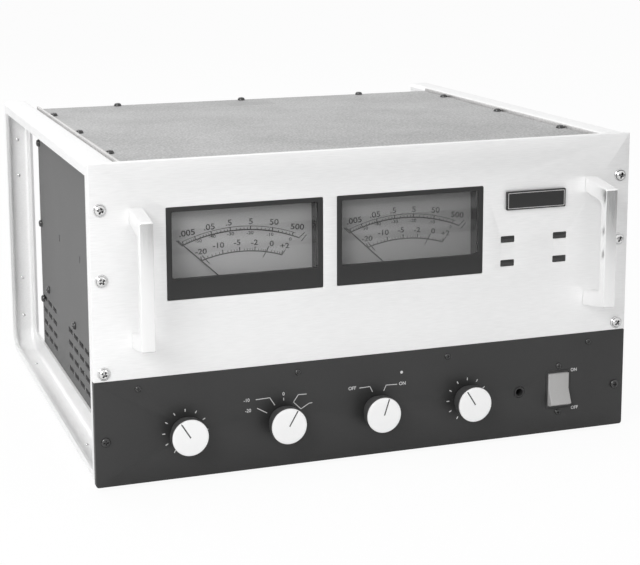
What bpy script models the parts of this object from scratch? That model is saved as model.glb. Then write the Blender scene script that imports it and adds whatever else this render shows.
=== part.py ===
"""A rack-mount stereo power amplifier with two panel meters, built at its real size in metres."""

import math

import bmesh
import bpy
from mathutils import Matrix, Vector

for old in list(bpy.data.objects):
    bpy.data.objects.remove(old, do_unlink=True)

mm = 0.001

# Fits: the gap between touching pieces, and how far a cutter runs past what it cuts
gap = 0.3 * mm
cut_overrun = 1.0 * mm

# Front panels, a silver plate over a black plate, six rack units tall together
rack_unit = 44.45 * mm
rack_units = 6
rack_relief = 0.8 * mm
panel_width = 482.6 * mm
panel_height = rack_units * rack_unit - rack_relief
panel_thickness = 6.35 * mm
black_plate_height = 88.2 * mm
black_plate_corner_radius = 2.5 * mm
floor_clearance = 4.0 * mm

# Depths, from the panel's front face
side_frame_depth = 431.8 * mm
chassis_depth = 381.0 * mm
handle_reach = 36.0 * mm

# Side frames: a bent channel ring on each side
frame_width = 25.4 * mm
frame_sheet = 2.5 * mm
frame_bend_radius = 6.0 * mm
frame_inner_flange = 19.5 * mm
frame_outer_lip = 10.8 * mm
frame_front_depth = 6.05 * mm
frame_rear_corner_radius = 25.0 * mm
frame_bottom_rise = 0.5 * mm
frame_corner_steps = 6
frame_bend_steps = 3

# Chassis sheets
sheet = 1.5 * mm
side_panel_sheet = 2.4 * mm
side_panel_top_drop = 0.3 * mm
front_plate_sheet = 2.0 * mm
rear_panel_sheet = 2.0 * mm
cover_drop = 3.0 * mm
bottom_plate_rise = 3.0 * mm

# Handles, seen from the side: a bar on two slanting legs
handle_end_margin = 37.5 * mm
handle_center_height = 171.8 * mm
handle_bar_width = 11.0 * mm
handle_bar_depth = 8.0 * mm
handle_leg_height = 13.0 * mm
handle_root_half_height = 57.5 * mm
handle_front_half_height = 51.7 * mm
handle_edge_radius = 1.6 * mm

# Blank name plate
name_plate_width = 56.5 * mm
name_plate_height = 16.3 * mm
name_plate_depth = 2.6 * mm
name_plate_rim = 1.1 * mm
name_plate_recess = 0.7 * mm
name_plate_offset = 0.2 * mm
name_plate_center_height = 212.9 * mm

# Meters
meter_width = 133.4 * mm
meter_height = 76.2 * mm
meter_gap = 12.45 * mm
meters_middle_x = -39.325 * mm
meter_center_height = 188.95 * mm
meter_window_side_margin = 4.4 * mm
meter_window_top_margin = 3.7 * mm
meter_window_bottom_margin = 14.0 * mm
meter_bezel_thickness = 5.0 * mm
meter_lens_thickness = 2.0 * mm
meter_lens_recess = 1.2 * mm
meter_lens_ledge = 1.0 * mm
meter_dial_recess = 16.0 * mm
meter_dial_thickness = 0.8 * mm
meter_back_wall = 3.0 * mm
meter_body_overhang = 2.6 * mm
meter_boss_overlap = 2.2 * mm
meter_body_drop = 18.0 * mm
needle_pivot_height = 150.5 * mm
needle_length = 71.0 * mm
needle_root_width = 1.0 * mm
needle_tip_width = 0.6 * mm
needle_thickness = 0.5 * mm
needle_tail_length = 6.0 * mm
needle_rest_angle = math.radians(-49.5)
needle_hub_radius = 3.0 * mm
needle_hub_depth = 2.6 * mm
needle_hub_dial_gap = 1.2 * mm
needle_post_radius = 1.0 * mm
movement_radius = 13.0 * mm
movement_depth = 9.0 * mm

# Indicator windows, two rows of two
indicator_width = 13.4 * mm
indicator_height = 6.1 * mm
indicator_depth = 9.0 * mm
indicator_recess = 0.4 * mm
indicator_spacing = 50.2 * mm
indicator_offset = -0.1 * mm
indicator_center_height = {"limit": 178.9 * mm, "normal": 157.9 * mm}

# Turning controls: four equal knobs in a row, with the angle of each pointer from straight up
control_height = 39.5 * mm
control_end_margin = 75.2 * mm
control_jack_spacing = 50.6 * mm
control_rest_angles = {
    "left_gain": math.radians(-32),
    "meter_range": math.radians(30),
    "speakers": math.radians(18),
    "right_gain": math.radians(-32),
}
knob_radius = 15.25 * mm
knob_face_reach = 17.0 * mm
knob_edge = 0.8 * mm
knob_rim_depth = 9.0 * mm
knob_skirt_radius = 12.6 * mm
knob_panel_gap = 0.9 * mm
knob_bore_depth = 11.0 * mm
pointer_width = 0.9 * mm
pointer_depth = 0.4 * mm
pointer_start = 1.5 * mm
shaft_radius = 3.0 * mm
bushing_radius = 4.7 * mm
bushing_reach = 0.5 * mm
potentiometer_radius = 12.0 * mm
potentiometer_depth = 14.0 * mm
rotary_switch_radius = 17.0 * mm
rotary_switch_depth = 26.0 * mm
shaft_engagement = 6.0 * mm

# Headphone jack
jack_rocker_spacing = 38.1 * mm
jack_height = 40.2 * mm
jack_bore_radius = 3.3 * mm
jack_barrel_radius = 4.8 * mm
jack_body_radius = 9.0 * mm
jack_body_depth = 26.0 * mm
jack_end_wall = 2.0 * mm

# Power switch: a rocker dished towards its middle, pivoting on two pins
rocker_end_margin = 65.2 * mm
rocker_height = 39.1 * mm
rocker_width = 19.9 * mm
rocker_half_height = 13.6 * mm
rocker_middle_reach = 3.5 * mm
rocker_dish = 2.9 * mm
rocker_back_reach = 6.5 * mm
rocker_pivot_depth = 1.9 * mm
rocker_pin_radius = 1.3 * mm
rocker_pin_length = 1.2 * mm
rocker_arc_steps = 5
switch_wall = 1.8 * mm
switch_body_depth = 26.0 * mm

# Perforations of the side panels: slots in rows and columns
slot_length = 20.0 * mm
slot_height = 5.0 * mm
slot_row_pitch = 12.65 * mm
slot_column_pitch = 25.7 * mm
slot_rows = 4
slot_lowest_height = 31.5 * mm
front_slots_first_depth = 154.0 * mm
front_slot_columns = 4
rear_slots_first_depth = 314.0 * mm
rear_slot_columns = 3
key_slot_width = 3.5 * mm
key_slot_length = 7.0 * mm
key_slot_height = 150.0 * mm
key_slot_depths = (176.0 * mm, 275.0 * mm)

# Heavy parts inside
power_transformer_size = (100.0 * mm, 118.0 * mm, 112.0 * mm)
autoformer_size = (92.0 * mm, 104.0 * mm, 104.0 * mm)
transformer_board_gap = 37.2 * mm
transformer_gap = 8.0 * mm
transformer_edge_radius = 4.0 * mm
capacitor_radius = 32.0 * mm
capacitor_height = 112.0 * mm
capacitor_edge = 2.0 * mm
capacitor_center_x = 40.0 * mm
capacitor_depth_from_panel = 118.0 * mm
circuit_board_size = (220.0 * mm, 1.6 * mm, 118.0 * mm)
circuit_board_capacitor_gap = 27.2 * mm
heat_sink_base = 5.0 * mm
heat_sink_fin_reach = 38.0 * mm
heat_sink_fin_thickness = 3.0 * mm
heat_sink_fin_pitch = 17.0 * mm
heat_sink_fins = 15
heat_sink_start_depth = 70.0 * mm
heat_sink_low = 92.0 * mm
heat_sink_high = 205.0 * mm

# Cooling fan on the inside of the rear panel
fan_size = 119.0 * mm
fan_depth = 38.0 * mm
fan_bore_radius = 56.0 * mm
fan_center_height = 190.0 * mm
fan_arm_thickness = 4.0 * mm
fan_arm_width = 8.0 * mm
fan_boss_radius = 18.0 * mm
fan_spindle_radius = 3.0 * mm
fan_hub_radius = 20.0 * mm
fan_hub_depth = 22.0 * mm
fan_hub_edge = 1.5 * mm
fan_blade_reach = 52.0 * mm
fan_blade_chord = 22.0 * mm
fan_blade_thickness = 2.0 * mm
fan_blade_root_overlap = 3.0 * mm
fan_blade_pitch = math.radians(35)
fan_blades = 5
fan_spindle_clearance = 0.8 * mm
grille_slot_height = 4.0 * mm
grille_slot_pitch = 10.0 * mm
grille_slots = 9
grille_margin = 6.0 * mm

# Connections on the rear panel
terminal_block_size = (168.0 * mm, 15.0 * mm, 27.0 * mm)
terminal_block_side_margin = 115.6 * mm
terminal_block_height = 62.0 * mm
terminal_block_edge = 1.5 * mm
input_plate_size = (62.0 * mm, 2.0 * mm, 30.0 * mm)
input_plate_side_margin = 77.6 * mm
input_plate_height = 196.0 * mm
input_jack_radius = 4.2 * mm
input_jack_bore_radius = 1.6 * mm
input_jack_reach = 11.0 * mm
input_jack_bore_depth = 8.0 * mm
input_jack_half_spacing = 16.0 * mm
gland_side_margin = 65.6 * mm
gland_height = 52.0 * mm
gland_bore_radius = 4.0 * mm
gland_neck_radius = 7.0 * mm
gland_flange_radius = 10.0 * mm
gland_flange_reach = 6.0 * mm
gland_inner_reach = 5.0 * mm
fuse_gland_spacing = 42.0 * mm
fuse_height = 52.0 * mm
fuse_cap_radius = 8.0 * mm
fuse_cap_reach = 11.0 * mm
fuse_cap_edge = 1.0 * mm
fuse_body_radius = 6.0 * mm
fuse_body_depth = 30.0 * mm

# Feet
foot_radius = 11.0 * mm
foot_edge = 1.2 * mm
foot_side_margin = 50.6 * mm
foot_depths = (55.0 * mm, 335.0 * mm)

# Facets of round pieces
round_steps = 24
fine_round_steps = 36
small_round_steps = 16

# Places that follow from the sizes above
panel_face = handle_reach - (handle_reach + side_frame_depth) / 2
panel_back = panel_face + panel_thickness
panel_bottom = floor_clearance
panel_top = panel_bottom + panel_height
chassis_front = panel_back + gap
chassis_back = panel_face + chassis_depth
chassis_half_width = panel_width / 2 - frame_width - gap
chassis_bottom = panel_bottom + bottom_plate_rise
chassis_top = panel_top - cover_drop
inner_low = chassis_bottom + sheet + gap
inner_high = chassis_top - sheet - gap
inner_half_width = chassis_half_width - side_panel_sheet - gap
rear_panel_front = chassis_back - rear_panel_sheet

# Places across the front: the meters, the column beside them and the row of controls
handle_center_x = panel_width / 2 - handle_end_margin
meter_reach = (meter_gap + meter_width) / 2
meter_center_x = {"left": meters_middle_x - meter_reach, "right": meters_middle_x + meter_reach}
column_start = meter_center_x["right"] + meter_width / 2
column_end = handle_center_x - handle_bar_width / 2
column_middle = (column_start + column_end) / 2
name_plate_center_x = column_middle + name_plate_offset
indicator_middle = column_middle + indicator_offset
indicator_center_x = {
    "left": indicator_middle - indicator_spacing / 2,
    "right": indicator_middle + indicator_spacing / 2,
}
rocker_x = panel_width / 2 - rocker_end_margin
jack_x = rocker_x - jack_rocker_spacing
control_first_x = control_end_margin - panel_width / 2
control_last_x = jack_x - control_jack_spacing
control_pitch = (control_last_x - control_first_x) / (len(control_rest_angles) - 1)

# Places inside and behind
board_capacitor_space = circuit_board_capacitor_gap + circuit_board_size[1] / 2
circuit_board_depth_from_panel = capacitor_depth_from_panel + capacitor_radius + board_capacitor_space
transformer_board_space = (circuit_board_size[1] + power_transformer_size[1]) / 2 + transformer_board_gap
transformer_row_depth = circuit_board_depth_from_panel + transformer_board_space
autoformer_center_x = (power_transformer_size[0] + autoformer_size[0]) / 2 + transformer_gap
foot_x = chassis_half_width - foot_side_margin
terminal_block_x = terminal_block_side_margin - chassis_half_width
input_plate_x = chassis_half_width - input_plate_side_margin
gland_x = chassis_half_width - gland_side_margin
fuse_x = gland_x - fuse_gland_spacing


def at_height(height):
    """World z of a height above the panel's lower edge."""
    return panel_bottom + height


def at_depth(depth):
    """World y of a depth behind the panel's front face."""
    return panel_face + depth


def make_material(name, color, roughness, metallic):
    material = bpy.data.materials.new(name)
    material.use_nodes = True
    shader = material.node_tree.nodes["Principled BSDF"]
    shader.inputs["Base Color"].default_value = (*color, 1.0)
    shader.inputs["Roughness"].default_value = roughness
    shader.inputs["Metallic"].default_value = metallic
    return material


finishes = {
    "silver_plate": ((0.82, 0.82, 0.80), 0.35, 0.9),
    "black_plate": ((0.03, 0.03, 0.03), 0.5, 0.2),
    "bright_aluminium": ((0.85, 0.85, 0.83), 0.3, 0.95),
    "dark_sheet": ((0.07, 0.07, 0.07), 0.6, 0.1),
    "cover_sheet": ((0.22, 0.22, 0.22), 0.65, 0.1),
    "zinc_sheet": ((0.6, 0.6, 0.58), 0.4, 0.9),
    "black_plastic": ((0.03, 0.03, 0.03), 0.4, 0.0),
    "dial_card": ((0.45, 0.45, 0.44), 0.8, 0.0),
    "clear_glass": ((0.9, 0.95, 0.95), 0.05, 0.0),
    "rocker_plastic": ((0.6, 0.6, 0.58), 0.4, 0.0),
    "lamp_lens": ((0.08, 0.02, 0.02), 0.2, 0.0),
    "transformer_paint": ((0.04, 0.04, 0.04), 0.45, 0.1),
    "capacitor_sleeve": ((0.1, 0.12, 0.25), 0.4, 0.0),
    "board_laminate": ((0.1, 0.25, 0.12), 0.5, 0.0),
    "rubber": ((0.03, 0.03, 0.03), 0.85, 0.0),
}
materials = {name: make_material(name, *values) for name, values in finishes.items()}


def add_object(name, mesh_builder, finish, origin=(0, 0, 0)):
    """Turns a bmesh into a named object. The mesh is built around the object's own origin."""
    bmesh.ops.recalc_face_normals(mesh_builder, faces=mesh_builder.faces)
    mesh = bpy.data.meshes.new(name)
    mesh_builder.to_mesh(mesh)
    mesh_builder.free()
    if finish:
        mesh.materials.append(materials[finish])
    obj = bpy.data.objects.new(name, mesh)
    obj.location = origin
    bpy.context.scene.collection.objects.link(obj)
    return obj


def add_box_geometry(mesh_builder, low, high):
    corners = bmesh.ops.create_cube(mesh_builder, size=1)["verts"]
    middle = (Vector(low) + Vector(high)) / 2
    spans = Vector(high) - Vector(low)
    bmesh.ops.scale(mesh_builder, vec=spans, verts=corners)
    bmesh.ops.translate(mesh_builder, vec=middle, verts=corners)
    return corners


def add_box(name, low, high, finish, edge_radius=0):
    mesh_builder = bmesh.new()
    add_box_geometry(mesh_builder, low, high)
    obj = add_object(name, mesh_builder, finish)
    if edge_radius:
        add_bevel(obj, edge_radius)
    return obj


def add_bevel(obj, width):
    bevel = obj.modifiers.new("rounded edges", "BEVEL")
    bevel.width = width
    bevel.segments = 2
    bevel.limit_method = "ANGLE"
    return bevel


def add_prism(name, outline, start, end, place, finish, origin=(0, 0, 0)):
    """Extrudes a closed outline. place(a, b, along) turns outline and travel into x, y, z."""
    mesh_builder = bmesh.new()
    first = [mesh_builder.verts.new(place(a, b, start)) for a, b in outline]
    last = [mesh_builder.verts.new(place(a, b, end)) for a, b in outline]
    mesh_builder.faces.new(first)
    mesh_builder.faces.new(reversed(last))
    for index, corner in enumerate(first):
        before = index - 1
        mesh_builder.faces.new((first[before], corner, last[index], last[before]))
    return add_object(name, mesh_builder, finish, origin)


def add_turned(name, profile, origin, finish, steps=round_steps, toward="back"):
    """Spins (radius, travel) points about an axis through origin. A radius of 0 closes an end."""
    mesh_builder = bmesh.new()
    rings = []
    for radius, travel in profile:
        count = steps if radius else 1
        ring = [
            mesh_builder.verts.new(
                (
                    radius * math.cos(math.tau * step / steps),
                    radius * math.sin(math.tau * step / steps),
                    travel,
                )
            )
            for step in range(count)
        ]
        rings.append(ring)
    pairs = list(zip(rings, rings[1:]))
    if profile[0][0]:
        pairs.append((rings[-1], rings[0]))
    for here, there in pairs:
        for step in range(steps):
            near = here[:1] if len(here) == 1 else [here[step - 1], here[step]]
            far = there[:1] if len(there) == 1 else [there[step], there[step - 1]]
            mesh_builder.faces.new(near + far)
    obj = add_object(name, mesh_builder, finish, origin)
    if toward == "back":
        obj.rotation_euler.x = -math.pi / 2
    obj.data.shade_smooth()
    obj.data.set_sharp_from_angle(angle=math.radians(35))
    return obj


def hide_tool(tool):
    tool.hide_render = True
    tool.display_type = "WIRE"


def combine(target, tool, operation):
    """Adds an exact Boolean to target and hides the tool that it works with."""
    modifier = target.modifiers.new(operation.lower(), "BOOLEAN")
    modifier.operation = operation
    modifier.solver = "EXACT"
    modifier.object = tool
    hide_tool(tool)


def cut_boxes(target, boxes):
    mesh_builder = bmesh.new()
    for low, high in boxes:
        add_box_geometry(mesh_builder, low, high)
    combine(target, add_object(target.name + " box cutter", mesh_builder, None), "DIFFERENCE")


def cut_round(target, radius, start, end, x, z, steps=round_steps):
    """Cuts a round hole that runs along y from start to end."""
    profile = [(0, 0), (radius, 0), (radius, end - start), (0, end - start)]
    tool = add_turned(target.name + " round cutter", profile, (x, start, z), None, steps)
    combine(target, tool, "DIFFERENCE")


def centered_box(center_x, center_z, width, height, start, end):
    return (
        (center_x - width / 2, start, center_z - height / 2),
        (center_x + width / 2, end, center_z + height / 2),
    )


def control_positions():
    """Name and x of each turning control, from left to right."""
    return [
        (name, control_first_x + index * control_pitch)
        for index, name in enumerate(control_rest_angles)
    ]


def indicator_positions():
    return [
        (f"{side}_{row}_lens", x, at_height(height))
        for side, x in indicator_center_x.items()
        for row, height in indicator_center_height.items()
    ]


# Front panels
def make_upper_front_panel():
    low = (-panel_width / 2, panel_face, at_height(black_plate_height) + gap)
    high = (panel_width / 2, panel_back, panel_top)
    panel = add_box("upper_front_panel", low, high, "silver_plate")
    start = panel_face - cut_overrun
    end = panel_back + cut_overrun
    openings = [
        centered_box(
            x, at_height(meter_center_height), meter_width + 2 * gap, meter_height + 2 * gap, start, end
        )
        for x in meter_center_x.values()
    ]
    openings += [
        centered_box(x, z, indicator_width, indicator_height, start, end)
        for _, x, z in indicator_positions()
    ]
    cut_boxes(panel, openings)


def switch_outer_size():
    width = rocker_width + 2 * gap + 2 * switch_wall
    height = 2 * (rocker_arc_radius() + gap + switch_wall)
    return width, height


def rocker_arc_radius():
    return math.hypot(rocker_half_height, rocker_middle_reach + rocker_dish)


def cut_control_openings(panel, start, end):
    """Cuts the holes for the four bushings, the headphone jack and the power switch."""
    width, height = switch_outer_size()
    opening = centered_box(
        rocker_x, at_height(rocker_height), width + 2 * gap, height + 2 * gap, start, end
    )
    cut_boxes(panel, [opening])
    for _, x in control_positions():
        cut_round(panel, bushing_radius + gap, start, end, x, at_height(control_height))
    cut_round(panel, jack_barrel_radius + gap, start, end, jack_x, at_height(jack_height))


def make_lower_front_panel():
    half = panel_width / 2
    radius = black_plate_corner_radius
    corner_steps = 3
    outline = [(-half, at_height(black_plate_height)), (half, at_height(black_plate_height))]
    for side, first_angle in ((1, 0), (-1, -math.pi / 2)):
        for step in range(corner_steps + 1):
            angle = first_angle - step / corner_steps * math.pi / 2
            center_x = side * (half - radius)
            outline.append(
                (
                    center_x + radius * math.cos(angle),
                    panel_bottom + radius + radius * math.sin(angle),
                )
            )
    panel = add_prism(
        "lower_front_panel",
        outline,
        panel_face,
        panel_back,
        lambda a, b, along: (a, along, b),
        "black_plate",
    )
    cut_control_openings(panel, panel_face - cut_overrun, panel_back + cut_overrun)


def make_front_chassis_plate():
    low = (-inner_half_width, chassis_front, inner_low)
    high = (inner_half_width, chassis_front + front_plate_sheet, inner_high)
    plate = add_box("front_chassis_plate", low, high, "zinc_sheet")
    start = chassis_front - cut_overrun
    end = chassis_front + front_plate_sheet + cut_overrun
    body_low, body_high, half_width = meter_body_span()
    openings = [
        (
            (x - half_width - gap, start, body_low - gap),
            (x + half_width + gap, end, body_high + gap),
        )
        for x in meter_center_x.values()
    ]
    openings += [
        centered_box(x, z, indicator_width, indicator_height, start, end)
        for _, x, z in indicator_positions()
    ]
    cut_boxes(plate, openings)
    cut_control_openings(plate, start, end)


def make_name_plate():
    mesh_builder = bmesh.new()
    z = at_height(name_plate_center_height)
    back = panel_face - gap
    low, high = centered_box(
        name_plate_center_x, z, name_plate_width, name_plate_height, back - name_plate_depth, back
    )
    add_box_geometry(mesh_builder, low, high)
    front = min(mesh_builder.faces, key=lambda face: face.calc_center_median().y)
    bmesh.ops.inset_region(
        mesh_builder, faces=[front], thickness=name_plate_rim, depth=0, use_even_offset=True
    )
    bmesh.ops.inset_region(
        mesh_builder,
        faces=[front],
        thickness=name_plate_recess,
        depth=-name_plate_recess,
        use_even_offset=True,
    )
    add_object("name_plate", mesh_builder, "black_plastic")


def make_handle(side, sign):
    """One closed outline in the y, z plane: out along a leg, down the bar and back."""
    z = at_height(handle_center_height)
    slope = (handle_root_half_height - handle_front_half_height) / handle_reach
    inner_root = handle_root_half_height - handle_leg_height
    inner_reach = handle_reach - handle_bar_depth
    inner_front = inner_root - slope * inner_reach
    upper = [
        (0, handle_root_half_height),
        (handle_reach, handle_front_half_height),
    ]
    inner = [(0, -inner_root), (inner_reach, -inner_front), (inner_reach, inner_front), (0, inner_root)]
    lower = [(reach, -height) for reach, height in reversed(upper)]
    outline = upper + lower + inner
    root = panel_face - gap
    handle = add_prism(
        f"{side}_handle",
        [(root - min(reach, handle_reach - gap), z + height) for reach, height in outline],
        sign * handle_center_x - handle_bar_width / 2,
        sign * handle_center_x + handle_bar_width / 2,
        lambda a, b, along: (along, a, b),
        "bright_aluminium",
    )
    add_bevel(handle, handle_edge_radius)


# Chassis
def frame_section():
    """Points (across, inward) of the bent channel: its outside, then its inside on the way back."""
    bends = ((frame_bend_radius, math.pi), (frame_width - frame_bend_radius, math.pi / 2))
    inner_radius = frame_bend_radius - frame_sheet
    outside = [(0, frame_inner_flange)]
    inside = []
    for center, first_angle in bends:
        for step in range(frame_bend_steps + 1):
            angle = first_angle - step / frame_bend_steps * math.pi / 2
            for radius, points in ((frame_bend_radius, outside), (inner_radius, inside)):
                across = center + radius * math.cos(angle)
                points.append((across, frame_bend_radius - radius * math.sin(angle)))
    outside.append((frame_width, frame_outer_lip))
    inside.append((frame_width - frame_sheet, frame_outer_lip))
    inside.insert(0, (frame_sheet, frame_inner_flange))
    return outside + inside[::-1]


def make_side_frame(side, sign):
    """Carries the channel section round a ring in the y, z plane, mitred at its corners."""
    front = panel_back + gap
    back = panel_face + side_frame_depth
    top = panel_top
    bottom = panel_bottom + frame_bottom_rise
    radius = frame_rear_corner_radius

    def station(kind, inward, share):
        if kind == "front_top":
            return front + min(inward, frame_front_depth), top - inward
        if kind == "rear_top":
            return back - inward, top - inward
        if kind == "front_bottom":
            return front + min(inward, frame_front_depth), bottom + inward
        angle = share * math.pi / 2
        reach = radius - inward
        return back - radius + reach * math.cos(angle), bottom + radius - reach * math.sin(angle)

    corner = [("rear_bottom", step / frame_corner_steps) for step in range(frame_corner_steps + 1)]
    stations = [("front_top", 0), ("rear_top", 0), *corner, ("front_bottom", 0)]
    mesh_builder = bmesh.new()
    inner_x = chassis_half_width + gap
    rings = []
    for kind, share in stations:
        ring = []
        for across, inward in frame_section():
            y, z = station(kind, inward, share)
            ring.append(mesh_builder.verts.new((sign * (inner_x + across), y, z)))
        rings.append(ring)
    for place, ring in enumerate(rings):
        before = rings[place - 1]
        for index in range(len(ring)):
            mesh_builder.faces.new((before[index - 1], before[index], ring[index], ring[index - 1]))
    frame = add_object(f"{side}_side_frame", mesh_builder, "bright_aluminium")
    frame.data.shade_smooth()
    frame.data.set_sharp_from_angle(angle=math.radians(40))


def side_panel_slots(outer_x, inner_x):
    low_x = min(outer_x, inner_x) - cut_overrun
    high_x = max(outer_x, inner_x) + cut_overrun

    def slot(depth, height, length, tall):
        return (
            (low_x, at_depth(depth) - length / 2, at_height(height) - tall / 2),
            (high_x, at_depth(depth) + length / 2, at_height(height) + tall / 2),
        )

    slots = []
    for first_depth, columns in (
        (front_slots_first_depth, front_slot_columns),
        (rear_slots_first_depth, rear_slot_columns),
    ):
        for column in range(columns):
            for row in range(slot_rows):
                depth = first_depth + column * slot_column_pitch
                height = slot_lowest_height + row * slot_row_pitch
                slots.append(slot(depth, height, slot_length, slot_height))
    for depth in key_slot_depths:
        slots.append(slot(depth, key_slot_height, key_slot_width, key_slot_length))
    return slots


def make_side_panel(side, sign):
    outer_x = sign * chassis_half_width
    inner_x = sign * (chassis_half_width - side_panel_sheet)
    low = (min(outer_x, inner_x), chassis_front, inner_low)
    high = (max(outer_x, inner_x), chassis_back, panel_top - side_panel_top_drop)
    panel = add_box(f"{side}_side_panel", low, high, "dark_sheet")
    cut_boxes(panel, side_panel_slots(outer_x, inner_x))


def make_cover_and_bottom():
    """The cover lies between the side panels, whose edges stand above it."""
    spans = {
        "top_cover": (inner_half_width, chassis_top - sheet, "cover_sheet"),
        "bottom_plate": (chassis_half_width, chassis_bottom, "zinc_sheet"),
    }
    for name, (half_width, low_z, finish) in spans.items():
        low = (-half_width, chassis_front, low_z)
        high = (half_width, chassis_back, low_z + sheet)
        add_box(name, low, high, finish)


def make_rear_panel():
    low = (-inner_half_width, rear_panel_front, inner_low)
    high = (inner_half_width, chassis_back, inner_high)
    panel = add_box("rear_panel", low, high, "dark_sheet")
    start = rear_panel_front - cut_overrun
    end = chassis_back + cut_overrun
    z = at_height(fan_center_height)
    reach = fan_bore_radius - grille_margin
    slots = []
    for index in range(grille_slots):
        offset = (index - (grille_slots - 1) / 2) * grille_slot_pitch
        width = 2 * math.sqrt(reach * reach - offset * offset)
        slots.append(centered_box(0, z + offset, width, grille_slot_height, start, end))
    cut_boxes(panel, slots)
    cut_round(panel, gland_neck_radius + gap, start, end, gland_x, at_height(gland_height))
    cut_round(panel, fuse_body_radius + gap, start, end, fuse_x, at_height(fuse_height))


def make_feet():
    top = chassis_bottom - gap
    profile = [(0, 0), (foot_radius - foot_edge, 0), (foot_radius, foot_edge), (foot_radius, top), (0, top)]
    for end, depth in zip(("front", "rear"), foot_depths):
        for side, sign in (("left", -1), ("right", 1)):
            add_turned(
                f"{end}_{side}_foot",
                profile,
                (sign * foot_x, at_depth(depth), 0),
                "rubber",
                toward="top",
            )


# Meters
def meter_body_span():
    """Lowest z, highest z and half width of a meter's body behind the panel."""
    center = at_height(meter_center_height)
    high = center + meter_height / 2 + meter_body_overhang
    low = center - meter_height / 2 - meter_body_drop
    return low, high, meter_width / 2 + meter_body_overhang


def meter_window(x):
    """Low and high corners, x and z, of the window in a meter's bezel."""
    center = at_height(meter_center_height)
    low_x = x - meter_width / 2 + meter_window_side_margin
    high_x = x + meter_width / 2 - meter_window_side_margin
    low_z = center - meter_height / 2 + meter_window_bottom_margin
    high_z = center + meter_height / 2 - meter_window_top_margin
    return (low_x, low_z), (high_x, high_z)


def dial_space(x):
    """Low and high corners, x and z, of the hollow behind a meter's bezel."""
    (low_x, _), (high_x, high_z) = meter_window(x)
    low_z = at_height(needle_pivot_height) - needle_hub_radius - needle_tail_length / 2
    return (low_x, low_z), (high_x, high_z)


def dial_space_back():
    """World y of the back of the hollow, one gap behind the dial."""
    return at_depth(meter_dial_recess + meter_dial_thickness) + gap


def make_meter_housing(side, x):
    center = at_height(meter_center_height)
    low, high = centered_box(
        x, center, meter_width, meter_height, panel_face, chassis_front + meter_boss_overlap
    )
    housing = add_box(f"{side}_meter_housing", low, high, "black_plastic")
    body_low, body_high, half_width = meter_body_span()
    body = add_box(
        f"{side} meter body",
        (x - half_width, chassis_front, body_low),
        (x + half_width, dial_space_back() + meter_back_wall, body_high),
        "black_plastic",
    )
    combine(housing, body, "UNION")
    (low_x, low_z), (high_x, high_z) = dial_space(x)
    hollow_start = at_depth(meter_bezel_thickness)
    hollow_end = dial_space_back()
    hollow = ((low_x, hollow_start, low_z), (high_x, hollow_end, high_z))
    (window_x, window_z), _ = meter_window(x)
    window = (
        (window_x + meter_lens_ledge, panel_face - cut_overrun, window_z + meter_lens_ledge),
        (high_x - meter_lens_ledge, hollow_start + cut_overrun, high_z - meter_lens_ledge),
    )
    lens_seat = (
        (window_x, panel_face - cut_overrun, window_z),
        (high_x, at_depth(meter_lens_recess + meter_lens_thickness) + gap, high_z),
    )
    for space in (hollow, window, lens_seat):
        cut_boxes(housing, [space])
    pivot_z = at_height(needle_pivot_height)
    cut_round(
        housing,
        needle_post_radius + gap,
        hollow_end - cut_overrun,
        hollow_end + meter_back_wall + cut_overrun,
        x,
        pivot_z,
        small_round_steps,
    )


def make_meter_lens(side, x):
    (low_x, low_z), (high_x, high_z) = meter_window(x)
    start = at_depth(meter_lens_recess)
    add_box(
        f"{side}_meter_lens",
        (low_x + gap, start, low_z + gap),
        (high_x - gap, start + meter_lens_thickness, high_z - gap),
        "clear_glass",
    )


def make_meter_dial(side, x):
    (low_x, low_z), (high_x, high_z) = dial_space(x)
    start = at_depth(meter_dial_recess)
    dial = add_box(
        f"{side}_meter_dial",
        (low_x + gap, start, low_z + gap),
        (high_x - gap, start + meter_dial_thickness, high_z - gap),
        "dial_card",
    )
    cut_round(
        dial,
        needle_post_radius + gap,
        start - cut_overrun,
        start + meter_dial_thickness + cut_overrun,
        x,
        at_height(needle_pivot_height),
        small_round_steps,
    )


def hub_back():
    return at_depth(meter_dial_recess) - needle_hub_dial_gap


def make_needle(side, x):
    """A blade on a bored hub. The object's origin is on the pivot, and it is turned to rest."""
    half_root = needle_root_width / 2
    half_tip = needle_tip_width / 2
    bore = needle_post_radius + gap
    front = hub_back() - needle_hub_depth
    pivot = (x, front, at_height(needle_pivot_height))
    profile = [
        (0, 0),
        (needle_hub_radius, 0),
        (needle_hub_radius, needle_hub_depth),
        (bore, needle_hub_depth),
        (bore, needle_hub_depth / 2),
        (0, needle_hub_depth / 2),
    ]
    needle = add_turned(f"{side}_needle", profile, pivot, "black_plastic", small_round_steps)
    inset = (needle_hub_depth / 2 - needle_thickness) / 2
    outline = [(half_root, -needle_tail_length), (half_tip, needle_length)]
    outline += [(-half_tip, needle_length), (-half_root, -needle_tail_length)]
    blade = add_prism(
        f"{side} needle blade",
        outline,
        inset,
        inset + needle_thickness,
        lambda a, b, along: (a, along, b),
        "black_plastic",
        pivot,
    )
    blade.rotation_euler.y = needle_rest_angle
    combine(needle, blade, "UNION")


def make_movement(side, x):
    """A magnet cup behind the housing's back wall, with the post that carries the needle."""
    seat = dial_space_back() + meter_back_wall + gap
    post_start = hub_back() - needle_hub_depth / 2 + gap
    post = seat - post_start
    profile = [
        (0, 0),
        (needle_post_radius, 0),
        (needle_post_radius, post),
        (movement_radius, post),
        (movement_radius, post + movement_depth),
        (0, post + movement_depth),
    ]
    add_turned(
        f"{side}_meter_movement",
        profile,
        (x, post_start, at_height(needle_pivot_height)),
        "zinc_sheet",
        small_round_steps,
    )


def make_meter(side, x):
    make_meter_housing(side, x)
    make_meter_lens(side, x)
    make_meter_dial(side, x)
    make_needle(side, x)
    make_movement(side, x)


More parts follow.
